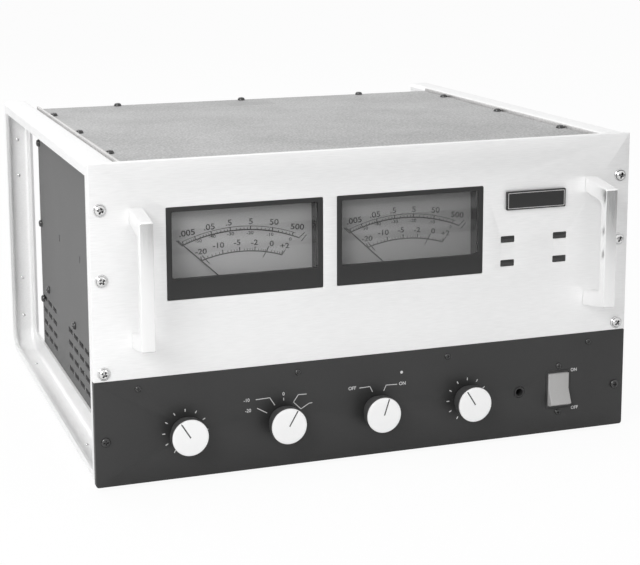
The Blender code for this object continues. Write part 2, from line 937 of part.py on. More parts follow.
# Front controls
def make_indicators():
    for name, x, z in indicator_positions():
        start = at_depth(indicator_recess)
        width = indicator_width - 2 * gap
        height = indicator_height - 2 * gap
        low, high = centered_box(x, z, width, height, start, start + indicator_depth)
        add_box(name, low, high, "lamp_lens")


def make_knob(name, x, angle):
    """A turned knob with a bore at its back and a pointer groove across its face."""
    front = panel_face - knob_face_reach
    back = knob_face_reach - knob_panel_gap
    bore = shaft_radius + gap
    floor = back - knob_bore_depth
    profile = [
        (0, 0),
        (knob_radius - knob_edge, 0),
        (knob_radius, knob_edge),
        (knob_radius, knob_rim_depth),
        (knob_skirt_radius, knob_rim_depth),
        (knob_skirt_radius, back),
        (bore, back),
        (bore, floor),
        (0, floor),
    ]
    center = (x, front, at_height(control_height))
    knob = add_turned(f"{name}_knob", profile, center, "bright_aluminium", fine_round_steps)
    mesh_builder = bmesh.new()
    half = pointer_width / 2
    add_box_geometry(
        mesh_builder,
        (-half, -cut_overrun, pointer_start),
        (half, pointer_depth, knob_radius + cut_overrun),
    )
    groove = add_object(f"{name} pointer cutter", mesh_builder, None, center)
    groove.rotation_euler.y = angle
    combine(knob, groove, "DIFFERENCE")


def make_shaft(name, x):
    """The shaft ends inside the knob's bore and inside the control's bore."""
    start = panel_face - knob_panel_gap - knob_bore_depth + gap
    end = chassis_front + front_plate_sheet + shaft_engagement
    profile = [(0, 0), (shaft_radius, 0), (shaft_radius, end - start), (0, end - start)]
    center = (x, start, at_height(control_height))
    add_turned(f"{name}_shaft", profile, center, "zinc_sheet", small_round_steps)


def make_control(name, x, radius, depth):
    """The fixed body of a control, with a bushing through the panels and a blind bore."""
    start = panel_face - bushing_reach
    seat = chassis_front + front_plate_sheet + gap - start
    bore = shaft_radius + gap
    bore_end = seat + shaft_engagement
    profile = [
        (0, bore_end),
        (bore, bore_end),
        (bore, 0),
        (bushing_radius, 0),
        (bushing_radius, seat),
        (radius, seat),
        (radius, seat + depth),
        (0, seat + depth),
    ]
    center = (x, start, at_height(control_height))
    add_turned(name, profile, center, "zinc_sheet", small_round_steps)


def make_turning_controls():
    switches = ("meter_range", "speakers")
    for name, x in control_positions():
        make_knob(name, x, control_rest_angles[name])
        make_shaft(name, x)
        if name in switches:
            make_control(f"{name}_rotary_switch", x, rotary_switch_radius, rotary_switch_depth)
        else:
            make_control(f"{name}_potentiometer", x, potentiometer_radius, potentiometer_depth)


def make_headphone_jack():
    seat = chassis_front + front_plate_sheet + gap - panel_face
    end = seat + jack_body_depth
    profile = [
        (0, end - jack_end_wall),
        (jack_bore_radius, end - jack_end_wall),
        (jack_bore_radius, 0),
        (jack_barrel_radius, 0),
        (jack_barrel_radius, seat),
        (jack_body_radius, seat),
        (jack_body_radius, end),
        (0, end),
    ]
    center = (jack_x, panel_face, at_height(jack_height))
    add_turned("headphone_jack", profile, center, "black_plastic", small_round_steps)


def rocker_center():
    return (rocker_x, at_depth(rocker_pivot_depth), at_height(rocker_height))


def rocker_slope():
    return math.atan2(rocker_dish, rocker_half_height)


def make_power_rocker():
    """The rocker's side outline has a dished front, and ends that are arcs about its pivot."""
    radius = rocker_arc_radius()
    end_angle = math.atan2(rocker_half_height, rocker_middle_reach + rocker_dish)
    back_angle = math.pi - math.acos(rocker_back_reach / radius)
    top = []
    for step in range(rocker_arc_steps + 1):
        angle = end_angle + (back_angle - end_angle) * step / rocker_arc_steps
        top.append((-radius * math.cos(angle), radius * math.sin(angle)))
    bottom = [(a, -b) for a, b in reversed(top)]
    outline = [(-rocker_middle_reach, 0), *top, *bottom]
    rocker = add_prism(
        "power_rocker",
        outline,
        -rocker_width / 2,
        rocker_width / 2,
        lambda a, b, along: (along, a, b),
        "rocker_plastic",
        rocker_center(),
    )
    rocker.rotation_euler.x = -rocker_slope()
    half = rocker_width / 2 + rocker_pin_length
    profile = [(0, -half), (rocker_pin_radius, -half), (rocker_pin_radius, half), (0, half)]
    pin = add_turned(
        "rocker pin", profile, rocker_center(), None, small_round_steps, toward="top"
    )
    pin.rotation_euler.y = math.pi / 2
    combine(rocker, pin, "UNION")


def make_power_switch_body():
    width, height = switch_outer_size()
    x, pivot_y, z = rocker_center()
    low, high = centered_box(x, z, width, height, panel_face, at_depth(switch_body_depth))
    body = add_box("power_switch_body", low, high, "black_plastic")
    well = centered_box(
        x,
        z,
        width - 2 * switch_wall,
        height - 2 * switch_wall,
        panel_face - cut_overrun,
        at_depth(rocker_pivot_depth) + rocker_arc_radius() + gap,
    )
    cut_boxes(body, [well])
    half = rocker_width / 2 + rocker_pin_length + gap
    radius = rocker_pin_radius + gap
    profile = [(0, -half), (radius, -half), (radius, half), (0, half)]
    holes = add_turned(
        "rocker pin cutter", profile, (x, pivot_y, z), None, small_round_steps, toward="top"
    )
    holes.rotation_euler.y = math.pi / 2
    combine(body, holes, "DIFFERENCE")


# Inside the chassis
def make_standing_block(name, x, depth, size, finish):
    """A block that stands on the bottom plate."""
    width, length, height = size
    y = at_depth(depth)
    return add_box(
        name,
        (x - width / 2, y - length / 2, inner_low),
        (x + width / 2, y + length / 2, inner_low + height),
        finish,
    )


def make_transformers():
    blocks = [("power_transformer", 0, power_transformer_size)]
    for side, sign in (("left", -1), ("right", 1)):
        blocks.append((f"{side}_output_transformer", sign * autoformer_center_x, autoformer_size))
    for name, x, size in blocks:
        block = make_standing_block(name, x, transformer_row_depth, size, "transformer_paint")
        add_bevel(block, transformer_edge_radius)


def make_capacitors():
    edge = capacitor_edge
    profile = [
        (0, 0),
        (capacitor_radius, 0),
        (capacitor_radius, capacitor_height - edge),
        (capacitor_radius - edge, capacitor_height),
        (0, capacitor_height),
    ]
    for side, sign in (("left", -1), ("right", 1)):
        center = (sign * capacitor_center_x, at_depth(capacitor_depth_from_panel), inner_low)
        add_turned(f"{side}_filter_capacitor", profile, center, "capacitor_sleeve", toward="top")


def make_heat_sink(side, sign):
    """A comb outline in the x, y plane, extruded upwards, with its base on the side panel."""
    base_x = sign * inner_half_width
    root_x = base_x - sign * heat_sink_base
    tip_x = root_x - sign * heat_sink_fin_reach
    start = at_depth(heat_sink_start_depth)
    outline = [(base_x, start)]
    for fin in range(heat_sink_fins):
        y = start + fin * heat_sink_fin_pitch
        end = y + heat_sink_fin_thickness
        outline += [(root_x, y), (tip_x, y), (tip_x, end), (root_x, end)]
    last_y = outline[-1][1]
    outline = [outline[0], *outline[2:-1], (base_x, last_y)]
    add_prism(
        f"{side}_heat_sink",
        outline,
        at_height(heat_sink_low),
        at_height(heat_sink_high),
        lambda a, b, along: (a, b, along),
        "black_plate",
    )


def make_fan():
    """The frame is bored through and keeps four arms and a spindle, on which the rotor turns."""
    back = rear_panel_front - gap
    front = back - fan_depth
    z = at_height(fan_center_height)
    low, high = centered_box(0, z, fan_size, fan_size, front, back)
    frame = add_box("fan_frame", low, high, "black_plastic")
    cut_round(frame, fan_bore_radius, front - cut_overrun, back + cut_overrun, 0, z, fine_round_steps)
    reach = fan_bore_radius + cut_overrun
    arm_end = front + fan_arm_thickness
    for name, width, height in (("upright", fan_arm_width, 2 * reach), ("level", 2 * reach, fan_arm_width)):
        low, high = centered_box(0, z, width, height, front, arm_end)
        combine(frame, add_box(f"{name} fan arm", low, high, None), "UNION")
    hub_start = fan_arm_thickness + gap
    bore_depth = fan_hub_depth - 2 * fan_spindle_clearance
    spindle_end = hub_start + bore_depth - fan_spindle_clearance
    boss = add_turned(
        "fan boss",
        [
            (0, 0),
            (fan_boss_radius, 0),
            (fan_boss_radius, fan_arm_thickness),
            (fan_spindle_radius, fan_arm_thickness),
            (fan_spindle_radius, spindle_end),
            (0, spindle_end),
        ],
        (0, front, z),
        None,
    )
    combine(frame, boss, "UNION")
    bore = fan_spindle_radius + gap
    edge = fan_hub_edge
    rotor = add_turned(
        "fan_rotor",
        [
            (0, bore_depth),
            (bore, bore_depth),
            (bore, 0),
            (fan_hub_radius, 0),
            (fan_hub_radius, fan_hub_depth - edge),
            (fan_hub_radius - edge, fan_hub_depth),
            (0, fan_hub_depth),
        ],
        (0, front + hub_start, z),
        "black_plastic",
    )
    mesh_builder = bmesh.new()
    for blade in range(fan_blades):
        corners = add_box_geometry(
            mesh_builder,
            (fan_hub_radius - fan_blade_root_overlap, -fan_blade_thickness / 2, -fan_blade_chord / 2),
            (fan_blade_reach, fan_blade_thickness / 2, fan_blade_chord / 2),
        )
        spin = math.tau * blade / fan_blades
        turn = Matrix.Rotation(spin, 3, "Y") @ Matrix.Rotation(fan_blade_pitch, 3, "X")
        bmesh.ops.rotate(mesh_builder, verts=corners, cent=(0, 0, 0), matrix=turn)
    middle = front + hub_start + fan_hub_depth / 2
    blades = add_object("fan blades", mesh_builder, None, (0, middle, z))
    combine(rotor, blades, "UNION")


# Rear connections
def make_terminal_block():
    width, depth, height = terminal_block_size
    start = chassis_back + gap
    low, high = centered_box(
        terminal_block_x, at_height(terminal_block_height), width, height, start, start + depth
    )
    add_box("speaker_terminals", low, high, "black_plastic", terminal_block_edge)


def make_input_plate():
    width, depth, height = input_plate_size
    start = chassis_back + gap
    z = at_height(input_plate_height)
    low, high = centered_box(input_plate_x, z, width, height, start, start + depth)
    plate = add_box("input_jack_plate", low, high, "zinc_sheet")
    end = depth + input_jack_reach
    well = end - input_jack_bore_depth
    profile = [
        (0, depth / 2),
        (input_jack_radius, depth / 2),
        (input_jack_radius, end),
        (input_jack_bore_radius, end),
        (input_jack_bore_radius, well),
        (0, well),
    ]
    for sign in (-1, 1):
        center = (input_plate_x + sign * input_jack_half_spacing, start, z)
        combine(plate, add_turned("input jack", profile, center, None, small_round_steps), "UNION")


def make_mains_gland():
    """A strain relief ring through the rear panel, open for a cord."""
    start = rear_panel_front - gland_inner_reach
    flange = chassis_back + gap - start
    end = flange + gland_flange_reach
    profile = [
        (gland_bore_radius, 0),
        (gland_neck_radius, 0),
        (gland_neck_radius, flange),
        (gland_flange_radius, flange),
        (gland_flange_radius, end),
        (gland_bore_radius, end),
    ]
    add_turned("mains_gland", profile, (gland_x, start, at_height(gland_height)), "black_plastic")


def make_fuse_holder():
    start = rear_panel_front - fuse_body_depth
    flange = chassis_back + gap - start
    end = flange + fuse_cap_reach
    profile = [
        (0, 0),
        (fuse_body_radius, 0),
        (fuse_body_radius, flange),
        (fuse_cap_radius, flange),
        (fuse_cap_radius, end - fuse_cap_edge),
        (fuse_cap_radius - fuse_cap_edge, end),
        (0, end),
    ]
    add_turned("fuse_holder", profile, (fuse_x, start, at_height(fuse_height)), "black_plastic")


def make_circuit_board():
    make_standing_block(
        "circuit_board", 0, circuit_board_depth_from_panel, circuit_board_size, "board_laminate"
    )


make_upper_front_panel()
make_lower_front_panel()
make_front_chassis_plate()
make_name_plate()
for side, sign in (("left", -1), ("right", 1)):
    make_handle(side, sign)
    make_side_frame(side, sign)
    make_side_panel(side, sign)
    make_heat_sink(side, sign)
make_cover_and_bottom()
make_rear_panel()
make_feet()
for side, x in meter_center_x.items():
    make_meter(side, x)
make_indicators()
make_turning_controls()
make_headphone_jack()
make_power_rocker()
make_power_switch_body()
make_transformers()
make_capacitors()
make_circuit_board()
make_fan()
make_terminal_block()
make_input_plate()
make_mains_gland()
make_fuse_holder()
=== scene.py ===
import math

import bmesh
import bpy
from mathutils import Matrix, Vector


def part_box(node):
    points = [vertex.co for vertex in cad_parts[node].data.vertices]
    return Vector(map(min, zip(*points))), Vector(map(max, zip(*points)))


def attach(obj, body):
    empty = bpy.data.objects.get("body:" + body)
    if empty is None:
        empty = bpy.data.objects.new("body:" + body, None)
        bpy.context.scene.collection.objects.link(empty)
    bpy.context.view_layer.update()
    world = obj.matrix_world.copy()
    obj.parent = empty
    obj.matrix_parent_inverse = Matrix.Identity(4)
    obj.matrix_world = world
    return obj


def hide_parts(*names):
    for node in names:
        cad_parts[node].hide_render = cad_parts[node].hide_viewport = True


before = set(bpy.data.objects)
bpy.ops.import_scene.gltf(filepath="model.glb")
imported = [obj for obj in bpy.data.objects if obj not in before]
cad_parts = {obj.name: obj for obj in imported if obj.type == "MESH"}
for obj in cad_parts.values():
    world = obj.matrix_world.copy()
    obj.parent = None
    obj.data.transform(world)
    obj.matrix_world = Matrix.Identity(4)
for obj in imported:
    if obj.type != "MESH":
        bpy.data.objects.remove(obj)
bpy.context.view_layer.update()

mm = 0.001
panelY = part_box("upper_front_panel")[0].y    # front face of the panels
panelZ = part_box("lower_front_panel")[0].z    # lower edge of the panels
quarter = math.pi / 2
print("scene: frame loaded")


def addNode(tree, kind, inputs=None, **settings):
    node = tree.nodes.new(kind)
    for key, value in settings.items():
        setattr(node, key, value)
    for key, value in (inputs or {}).items():
        if isinstance(value, bpy.types.NodeSocket):
            tree.links.new(value, node.inputs[key])
        else:
            node.inputs[key].default_value = value
    return node


def newTree(name, kind, inputs, outputs):
    tree = bpy.data.node_groups.new(name, kind)
    for label, socketType, value in inputs:
        socket = tree.interface.new_socket(label, in_out="INPUT", socket_type=socketType)
        if value is not None:
            socket.default_value = value
    for label, socketType in outputs:
        tree.interface.new_socket(label, in_out="OUTPUT", socket_type=socketType)
    start = tree.nodes.new("NodeGroupInput")
    end = tree.nodes.new("NodeGroupOutput")
    return tree, start.outputs, end


def noiseOf(tree, place, scale, detail):
    inputs = {"Vector": place, "Scale": scale, "Detail": detail}
    return addNode(tree, "ShaderNodeTexNoise", inputs).outputs["Fac"]


def remap(tree, value, first, last, low=0.0, high=1.0):
    return addNode(tree, "ShaderNodeMapRange", {0: value, 1: first, 2: last, 3: low, 4: high}).outputs[0]


def combine(tree, first, second, operation="MULTIPLY"):
    return addNode(tree, "ShaderNodeMath", {0: first, 1: second}, operation=operation).outputs[0]


# Shader groups: each gives only a mask or a value
def makeGrainGroup():
    tree, given, end = newTree(
        "surface grain",
        "ShaderNodeTree",
        (
            ("Coordinate", "NodeSocketVector", None),
            ("Stretch", "NodeSocketVector", (1, 1, 1)),
            ("Scale", "NodeSocketFloat", 100.0),
            ("Detail", "NodeSocketFloat", 3.0),
        ),
        (("Value", "NodeSocketFloat"),),
    )
    stretched = addNode(
        tree, "ShaderNodeVectorMath", {0: given["Coordinate"], 1: given["Stretch"]}, operation="MULTIPLY"
    )
    tree.links.new(noiseOf(tree, stretched.outputs[0], given["Scale"], given["Detail"]), end.inputs[0])
    return tree


def newMask(name, sockets):
    rows = [("Coordinate", "NodeSocketVector", None)]
    rows += [(label, "NodeSocketFloat", value) for label, value in sockets]
    return newTree(name, "ShaderNodeTree", rows, (("Mask", "NodeSocketFloat"),))


def makeEdgeGroup():
    tree, given, end = newMask("edge wear", (("Radius", 0.0006), ("Patches", 60.0), ("Amount", 0.5)))
    rounded = addNode(tree, "ShaderNodeBevel", {"Radius": given["Radius"]}, samples=4)
    normal = addNode(tree, "ShaderNodeNewGeometry").outputs["Normal"]
    alike = addNode(tree, "ShaderNodeVectorMath", {0: rounded.outputs[0], 1: normal}, operation="DOT_PRODUCT")
    edge = remap(tree, alike.outputs["Value"], 0.99, 0.85)
    broken = remap(tree, noiseOf(tree, given["Coordinate"], given["Patches"], 4.0), 0.4, 0.62, 0.1)
    tree.links.new(combine(tree, combine(tree, edge, broken), given["Amount"]), end.inputs[0])
    return tree


def makeDustGroup():
    tree, given, end = newMask("dust", (("Scale", 30.0), ("Amount", 0.1)))
    normal = addNode(tree, "ShaderNodeNewGeometry").outputs["Normal"]
    upward = remap(tree, addNode(tree, "ShaderNodeSeparateXYZ", {0: normal}).outputs["Z"], 0.2, 1.0)
    cloud = noiseOf(tree, given["Coordinate"], given["Scale"], 5.0)
    tree.links.new(combine(tree, combine(tree, upward, cloud), given["Amount"]), end.inputs[0])
    return tree


# Painted shade: recesses found by ambient occlusion are darkened, in patches
def makeRecessShadeGroup():
    tree, given, end = newMask("painted recess shade", (("Reach", 0.0015), ("Patches", 400.0), ("Amount", 0.5)))
    hidden = addNode(tree, "ShaderNodeAmbientOcclusion", {"Distance": given["Reach"]}, samples=8)
    deep = remap(tree, hidden.outputs["AO"], 0.9, 0.45)
    broken = remap(tree, noiseOf(tree, given["Coordinate"], given["Patches"], 3.0), 0.3, 0.6, 0.6)
    tree.links.new(combine(tree, combine(tree, deep, broken), given["Amount"]), end.inputs[0])
    return tree


shaderGroups = {
    "grain": makeGrainGroup(), "edge": makeEdgeGroup(), "dust": makeDustGroup(), "grime": makeRecessShadeGroup(),
}


def addGroup(tree, name, inputs):
    return addNode(tree, "ShaderNodeGroup", inputs, node_tree=shaderGroups[name]).outputs[0]


def mixColors(tree, factor, first, second):
    node = tree.nodes.new("ShaderNodeMix")
    node.data_type = "RGBA"
    tree.links.new(factor, node.inputs[0])
    for socket, value in ((node.inputs[6], first), (node.inputs[7], second)):
        if isinstance(value, bpy.types.NodeSocket):
            tree.links.new(value, socket)
        else:
            socket.default_value = (*value, 1.0)
    return node.outputs[2]


def gray(tone, warmth=0.0):
    level = tone / 255
    linear = level / 12.92 if level <= 0.04045 else ((level + 0.055) / 1.055) ** 2.4
    return (linear * (1 + warmth), linear, linear * (1 - warmth))


# Each finish: two close tones, how rough, how the fine grain runs, how worn and dusty it is
finishes = {
    "silver plate": dict(
        tones=(gray(242), gray(249)), metal=0.42, rough=(0.34, 0.44), stretch=(0.06, 1, 1), grain=1500,
        relief=0.000004, wear=0.25, worn=gray(250), dust=0.02,
    ),
    "black plate": dict(
        tones=(gray(40), gray(48)), rough=(0.4, 0.5), grain=2600, relief=0.000012, wear=0.5, worn=gray(140),
        dust=0.05,
    ),
    "bright bar": dict(
        tones=(gray(246), gray(252)), metal=0.9, rough=(0.19, 0.26), stretch=(1, 1, 0.06), grain=1400,
        relief=0.000004, wear=0.2, worn=gray(252),
    ),
    "frame sheet": dict(
        tones=(gray(236), gray(244)), metal=0.35, rough=(0.4, 0.5), stretch=(1, 0.08, 1), grain=1100,
        relief=0.000005, wear=0.3, worn=gray(250), dust=0.03,
    ),
    "dark sheet": dict(
        tones=(gray(84), gray(94)), rough=(0.5, 0.62), grain=1500, relief=0.00002, wear=0.6, worn=gray(190),
        dust=0.05,
    ),
    "cover paint": dict(
        tones=(gray(140), gray(196)), rough=(0.5, 0.65), grain=520, relief=0.00012, wear=0.4, worn=gray(220),
        dust=0.05,
    ),
    "cover patch": dict(
        tones=(gray(140), gray(188)), rough=(0.5, 0.6), grain=700, relief=0.00006, wear=0.3, worn=gray(210),
        dust=0.05,
    ),
    "zinc": dict(
        tones=(gray(190, 0.01), gray(214, 0.01)), metal=0.9, rough=(0.35, 0.5), grain=500, relief=0.00001,
        wear=0.2, worn=gray(240), dust=0.04,
    ),
    "chrome": dict(
        tones=(gray(214), gray(230)), metal=1.0, rough=(0.1, 0.18), grain=900, relief=0.000004, wear=0.1,
        worn=gray(250), grime=0.95,
    ),
    "black oxide": dict(
        tones=(gray(26), gray(36)), metal=0.1, rough=(0.12, 0.22), grain=1200, relief=0.000008, wear=0.3,
        worn=gray(110), dust=0.02, grime=0.6, shine=0.9,
    ),
    "black plastic": dict(
        tones=(gray(40), gray(47)), rough=(0.34, 0.44), grain=1800, relief=0.000012, wear=0.3, worn=gray(96),
        dust=0.05,
    ),
    # knob side: lighter than the black plastic to offset the shade on the knob's sides, painted light
    "knob side painted light": dict(
        tones=(gray(60), gray(68)), rough=(0.34, 0.44), grain=1800, relief=0.000012, wear=0.3, worn=gray(96),
        dust=0.03,
    ),
    "meter moulding": dict(
        tones=(gray(32), gray(38)), rough=(0.34, 0.44), grain=2400, relief=0.000008, wear=0.35,
        worn=gray(86), dust=0.03,
    ),
    "meter inside": dict(
        tones=(gray(20), gray(25)), rough=(0.85, 0.95), grain=2400, relief=0.00002, shine=0.08,
    ),
    # dial card: painted shade, its colour darkens along x towards the right-hand meter
    "dial card": dict(
        tones=(gray(150), gray(158)), rough=(0.6, 0.7), grain=2200, relief=0.000006,
        fade=(-0.165, 0.085, gray(108)),
    ),
    "dial ink": dict(tones=(gray(22), gray(30)), rough=(0.5, 0.6), grain=3000, relief=0.000004),
    "panel ink": dict(tones=(gray(206), gray(222)), rough=(0.5, 0.6), grain=3000, relief=0.000004),
    "rocker plastic": dict(
        tones=(gray(168, 0.01), gray(176, 0.01)), rough=(0.38, 0.48), grain=1600, relief=0.00001, wear=0.3,
        worn=gray(205), dust=0.02,
    ),
    "lamp lens": dict(
        tones=(gray(48), gray(56)), rough=(0.12, 0.2), grain=900, relief=0.000004, wear=0.2, worn=gray(90),
        dust=0.02,
    ),
    "transformer paint": dict(
        tones=(gray(46), gray(58)), metal=0.1, rough=(0.35, 0.5), grain=700, relief=0.00003, wear=0.5,
        worn=gray(130), dust=0.1,
    ),
    "capacitor sleeve": dict(
        tones=((0.03, 0.06, 0.16), (0.04, 0.08, 0.2)), rough=(0.25, 0.35), grain=600, relief=0.000008,
        wear=0.1, worn=gray(150), dust=0.1,
    ),
    "board laminate": dict(
        tones=((0.05, 0.17, 0.07), (0.07, 0.21, 0.09)), rough=(0.35, 0.5), grain=1000, relief=0.00001,
        dust=0.1,
    ),
    "rubber": dict(
        tones=(gray(46), gray(54)), rough=(0.7, 0.85), grain=1500, relief=0.00003, wear=0.2, worn=gray(80),
        dust=0.1,
    ),
}


def makeFinish(
    name, tones, rough, grain, relief, metal=0.0, stretch=(1, 1, 1), wear=0.0, worn=gray(180), dust=0.0,
    grime=0.0, shine=0.5, fade=None,
):
    material = bpy.data.materials.new(name.replace(" ", "_"))
    material.use_nodes = True
    tree = material.node_tree
    shader = tree.nodes["Principled BSDF"]
    place = tree.nodes.new("ShaderNodeTexCoord").outputs["Object"]
    cloud = addGroup(tree, "grain", {"Coordinate": place, "Scale": 14.0, "Detail": 4.0})
    fine = addGroup(
        tree, "grain", {"Coordinate": place, "Stretch": stretch, "Scale": grain, "Detail": 2.0}
    )
    blend = combine(tree, combine(tree, cloud, 0.35), fine, "ADD")
    color = mixColors(tree, remap(tree, blend, 0.45, 0.9), *tones)
    # painted shade: the colour darkens along x towards the given tone
    if fade:
        first, last, tone = fade
        across = addNode(tree, "ShaderNodeSeparateXYZ", {0: place}).outputs["X"]
        color = mixColors(tree, remap(tree, across, first, last), color, tone)
    if wear:
        edge = addGroup(tree, "edge", {"Coordinate": place, "Amount": wear})
        color = mixColors(tree, edge, color, worn)
    if dust:
        film = addGroup(tree, "dust", {"Coordinate": place, "Amount": dust})
        color = mixColors(tree, film, color, gray(200))
    # painted shade in recesses, mixed towards a near-black tone
    if grime:
        recessShadeMask = addGroup(tree, "grime", {"Coordinate": place, "Amount": grime})
        color = mixColors(tree, recessShadeMask, color, gray(18))
    tree.links.new(color, shader.inputs["Base Color"])
    shader.inputs["Metallic"].default_value = metal
    shader.inputs["Specular IOR Level"].default_value = shine
    tree.links.new(remap(tree, fine, 0.25, 0.75, *rough), shader.inputs["Roughness"])
    bump = addNode(tree, "ShaderNodeBump", {"Height": fine, "Strength": 1.0, "Distance": relief})
    tree.links.new(bump.outputs[0], shader.inputs["Normal"])
    return material


materials = {name: makeFinish(name, **values) for name, values in finishes.items()}


# Knob metal: fine rings turned on the face, from the radius kept on the mesh
def makeTurnedMetal():
    values = dict(
        tones=(gray(250), gray(254)), rough=(0.28, 0.4), ringScale=2200.0, relief=0.000005, metal=0.5,
        edgeRadius=0.0004, edgeWear=0.15, edgeTone=gray(253),
    )
    material = bpy.data.materials.new("turned_aluminium")
    material.use_nodes = True
    tree = material.node_tree
    shader = tree.nodes["Principled BSDF"]
    radius = addNode(tree, "ShaderNodeAttribute", attribute_name="ringRadius").outputs["Fac"]
    line = addNode(tree, "ShaderNodeCombineXYZ", {0: radius})
    rings = addGroup(
        tree, "grain", {"Coordinate": line.outputs[0], "Scale": values["ringScale"], "Detail": 2.0}
    )
    color = mixColors(tree, rings, *values["tones"])
    place = tree.nodes.new("ShaderNodeTexCoord").outputs["Object"]
    edge = addGroup(tree, "edge", {
        "Coordinate": place, "Radius": values["edgeRadius"], "Amount": values["edgeWear"],
    })
    color = mixColors(tree, edge, color, values["edgeTone"])
    tree.links.new(color, shader.inputs["Base Color"])
    shader.inputs["Metallic"].default_value = values["metal"]
    tree.links.new(remap(tree, rings, 0.3, 0.7, *values["rough"]), shader.inputs["Roughness"])
    bump = addNode(tree, "ShaderNodeBump", {"Height": rings, "Strength": 1.0, "Distance": values["relief"]})
    tree.links.new(bump.outputs[0], shader.inputs["Normal"])
    return material


# Window glass: light passes straight through it to the dial
def makeGlass():
    values = dict(tint=gray(250), smear=(0.02, 0.06), smearScale=40.0, index=1.49, shine=0.12)
    material = bpy.data.materials.new("window_glass")
    material.use_nodes = True
    tree = material.node_tree
    shader = tree.nodes["Principled BSDF"]
    output = tree.nodes["Material Output"]
    place = tree.nodes.new("ShaderNodeTexCoord").outputs["Object"]
    smear = addGroup(tree, "grain", {"Coordinate": place, "Scale": values["smearScale"], "Detail": 3.0})
    tree.links.new(remap(tree, smear, 0.4, 0.7, *values["smear"]), shader.inputs["Roughness"])
    shader.inputs["Base Color"].default_value = (*values["tint"], 1.0)
    shader.inputs["Transmission Weight"].default_value = 1.0
    shader.inputs["IOR"].default_value = values["index"]
    shader.inputs["Specular IOR Level"].default_value = values["shine"]
    clear = addNode(tree, "ShaderNodeBsdfTransparent")
    rays = addNode(tree, "ShaderNodeLightPath")
    inputs = {0: rays.outputs["Is Shadow Ray"], 1: shader.outputs[0], 2: clear.outputs[0]}
    chosen = addNode(tree, "ShaderNodeMixShader", inputs)
    tree.links.new(chosen.outputs[0], output.inputs["Surface"])
    return material


materials["turned aluminium"] = makeTurnedMetal()
materials["window glass"] = makeGlass()
print("scene: materials made")


# Mesh helpers
def addPiece(name, builder, finish, body="chassis", nodes=(), sharp=35):
    bmesh.ops.recalc_face_normals(builder, faces=builder.faces)
    mesh = bpy.data.meshes.new(name)
    builder.to_mesh(mesh)
    builder.free()
    mesh.materials.append(materials[finish])
    mesh.shade_smooth()
    for face in mesh.polygons:
        face.use_smooth = face.material_index == 0
        face.material_index = 0
    mesh.set_sharp_from_angle(angle=math.radians(sharp))
    piece = bpy.data.objects.new(name, mesh)
    bpy.context.scene.collection.objects.link(piece)
    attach(piece, body)
    if nodes:
        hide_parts(*nodes)
    return piece


def offsetLoop(loop, distance):
    area = sum(a[0] * b[1] - b[0] * a[1] for a, b in zip(loop, loop[1:] + loop[:1]))
    turn = 1 if area > 0 else -1
    moved = []
    for index, point in enumerate(loop):
        here = Vector(point)
        first = (here - Vector(loop[index - 1])).normalized()
        second = (Vector(loop[(index + 1) % len(loop)]) - here).normalized()
        normal = Vector((-first.y, first.x)) * turn
        middle = (normal + Vector((-second.y, second.x)) * turn).normalized()
        moved.append(here + middle * (distance / max(middle.dot(normal), 0.3)))
    return moved


def roundedLoop(corners, steps=5):
    points = []
    for index, (u, v, radius) in enumerate(corners):
        here = Vector((u, v))
        if not radius:
            points.append(here)
            continue
        before = Vector(corners[index - 1][:2]) - here
        after = Vector(corners[(index + 1) % len(corners)][:2]) - here
        half = before.angle(after) / 2
        start = here + before.normalized() * (radius / math.tan(half))
        center = here + (before.normalized() + after.normalized()).normalized() * (radius / math.sin(half))
        arm = start - center
        sweep = math.pi - 2 * half
        turn = 1 if before.cross(after) < 0 else -1
        for step in range(steps + 1):
            angle = turn * sweep * step / steps
            points.append(center + Vector((
                arm.x * math.cos(angle) - arm.y * math.sin(angle),
                arm.x * math.sin(angle) + arm.y * math.cos(angle),
            )))
    return points


def rectangle(lowU, lowV, highU, highV, radius=0.0, steps=5):
    corners = ((lowU, lowV), (highU, lowV), (highU, highV), (lowU, highV))
    return roundedLoop([(u, v, radius) for u, v in corners], steps)


def circle(u, v, radius, steps=48):
    turns = (step / steps * 2 * math.pi for step in range(steps))
    return [Vector((u + radius * math.cos(turn), v + radius * math.sin(turn))) for turn in turns]


def plateMesh(loops, thickness, edge, place, steps=2, builder=None):
    builder = builder or bmesh.new()
    turns = [step / steps * quarter for step in range(steps + 1)]
    profile = [(edge * (1 - math.sin(turn)), edge * (1 - math.cos(turn))) for turn in turns]
    profile += [(inset, thickness - depth) for inset, depth in reversed(profile)]
    caps = ([], [])
    for index, loop in enumerate(loops):
        rings = []
        for inset, depth in profile:
            shifted = offsetLoop(loop, inset if index == 0 else -inset)
            rings.append([builder.verts.new(place(u, v, depth)) for u, v in shifted])
        for near, far in zip(rings, rings[1:]):
            for i in range(len(near)):
                builder.faces.new((near[i - 1], near[i], far[i], far[i - 1]))
        caps[0].append(rings[0])
        caps[1].append(rings[-1])
    for cap in caps:
        edges = [builder.edges.get((ring[i - 1], ring[i])) for ring in cap for i in range(len(ring))]
        filled = bmesh.ops.triangle_fill(builder, use_beauty=True, edges=edges)
        for part in filled["geom"]:
            if isinstance(part, bmesh.types.BMFace):
                part.material_index = 1    # addPiece keeps these faces flat
    return builder


def frontPlane(y):
    return lambda u, v, w: (u, y + w, v)


def backPlane(y):
    return lambda u, v, w: (u, y - w, v)


def topPlane(z):
    return lambda u, v, w: (u, v, z - w)


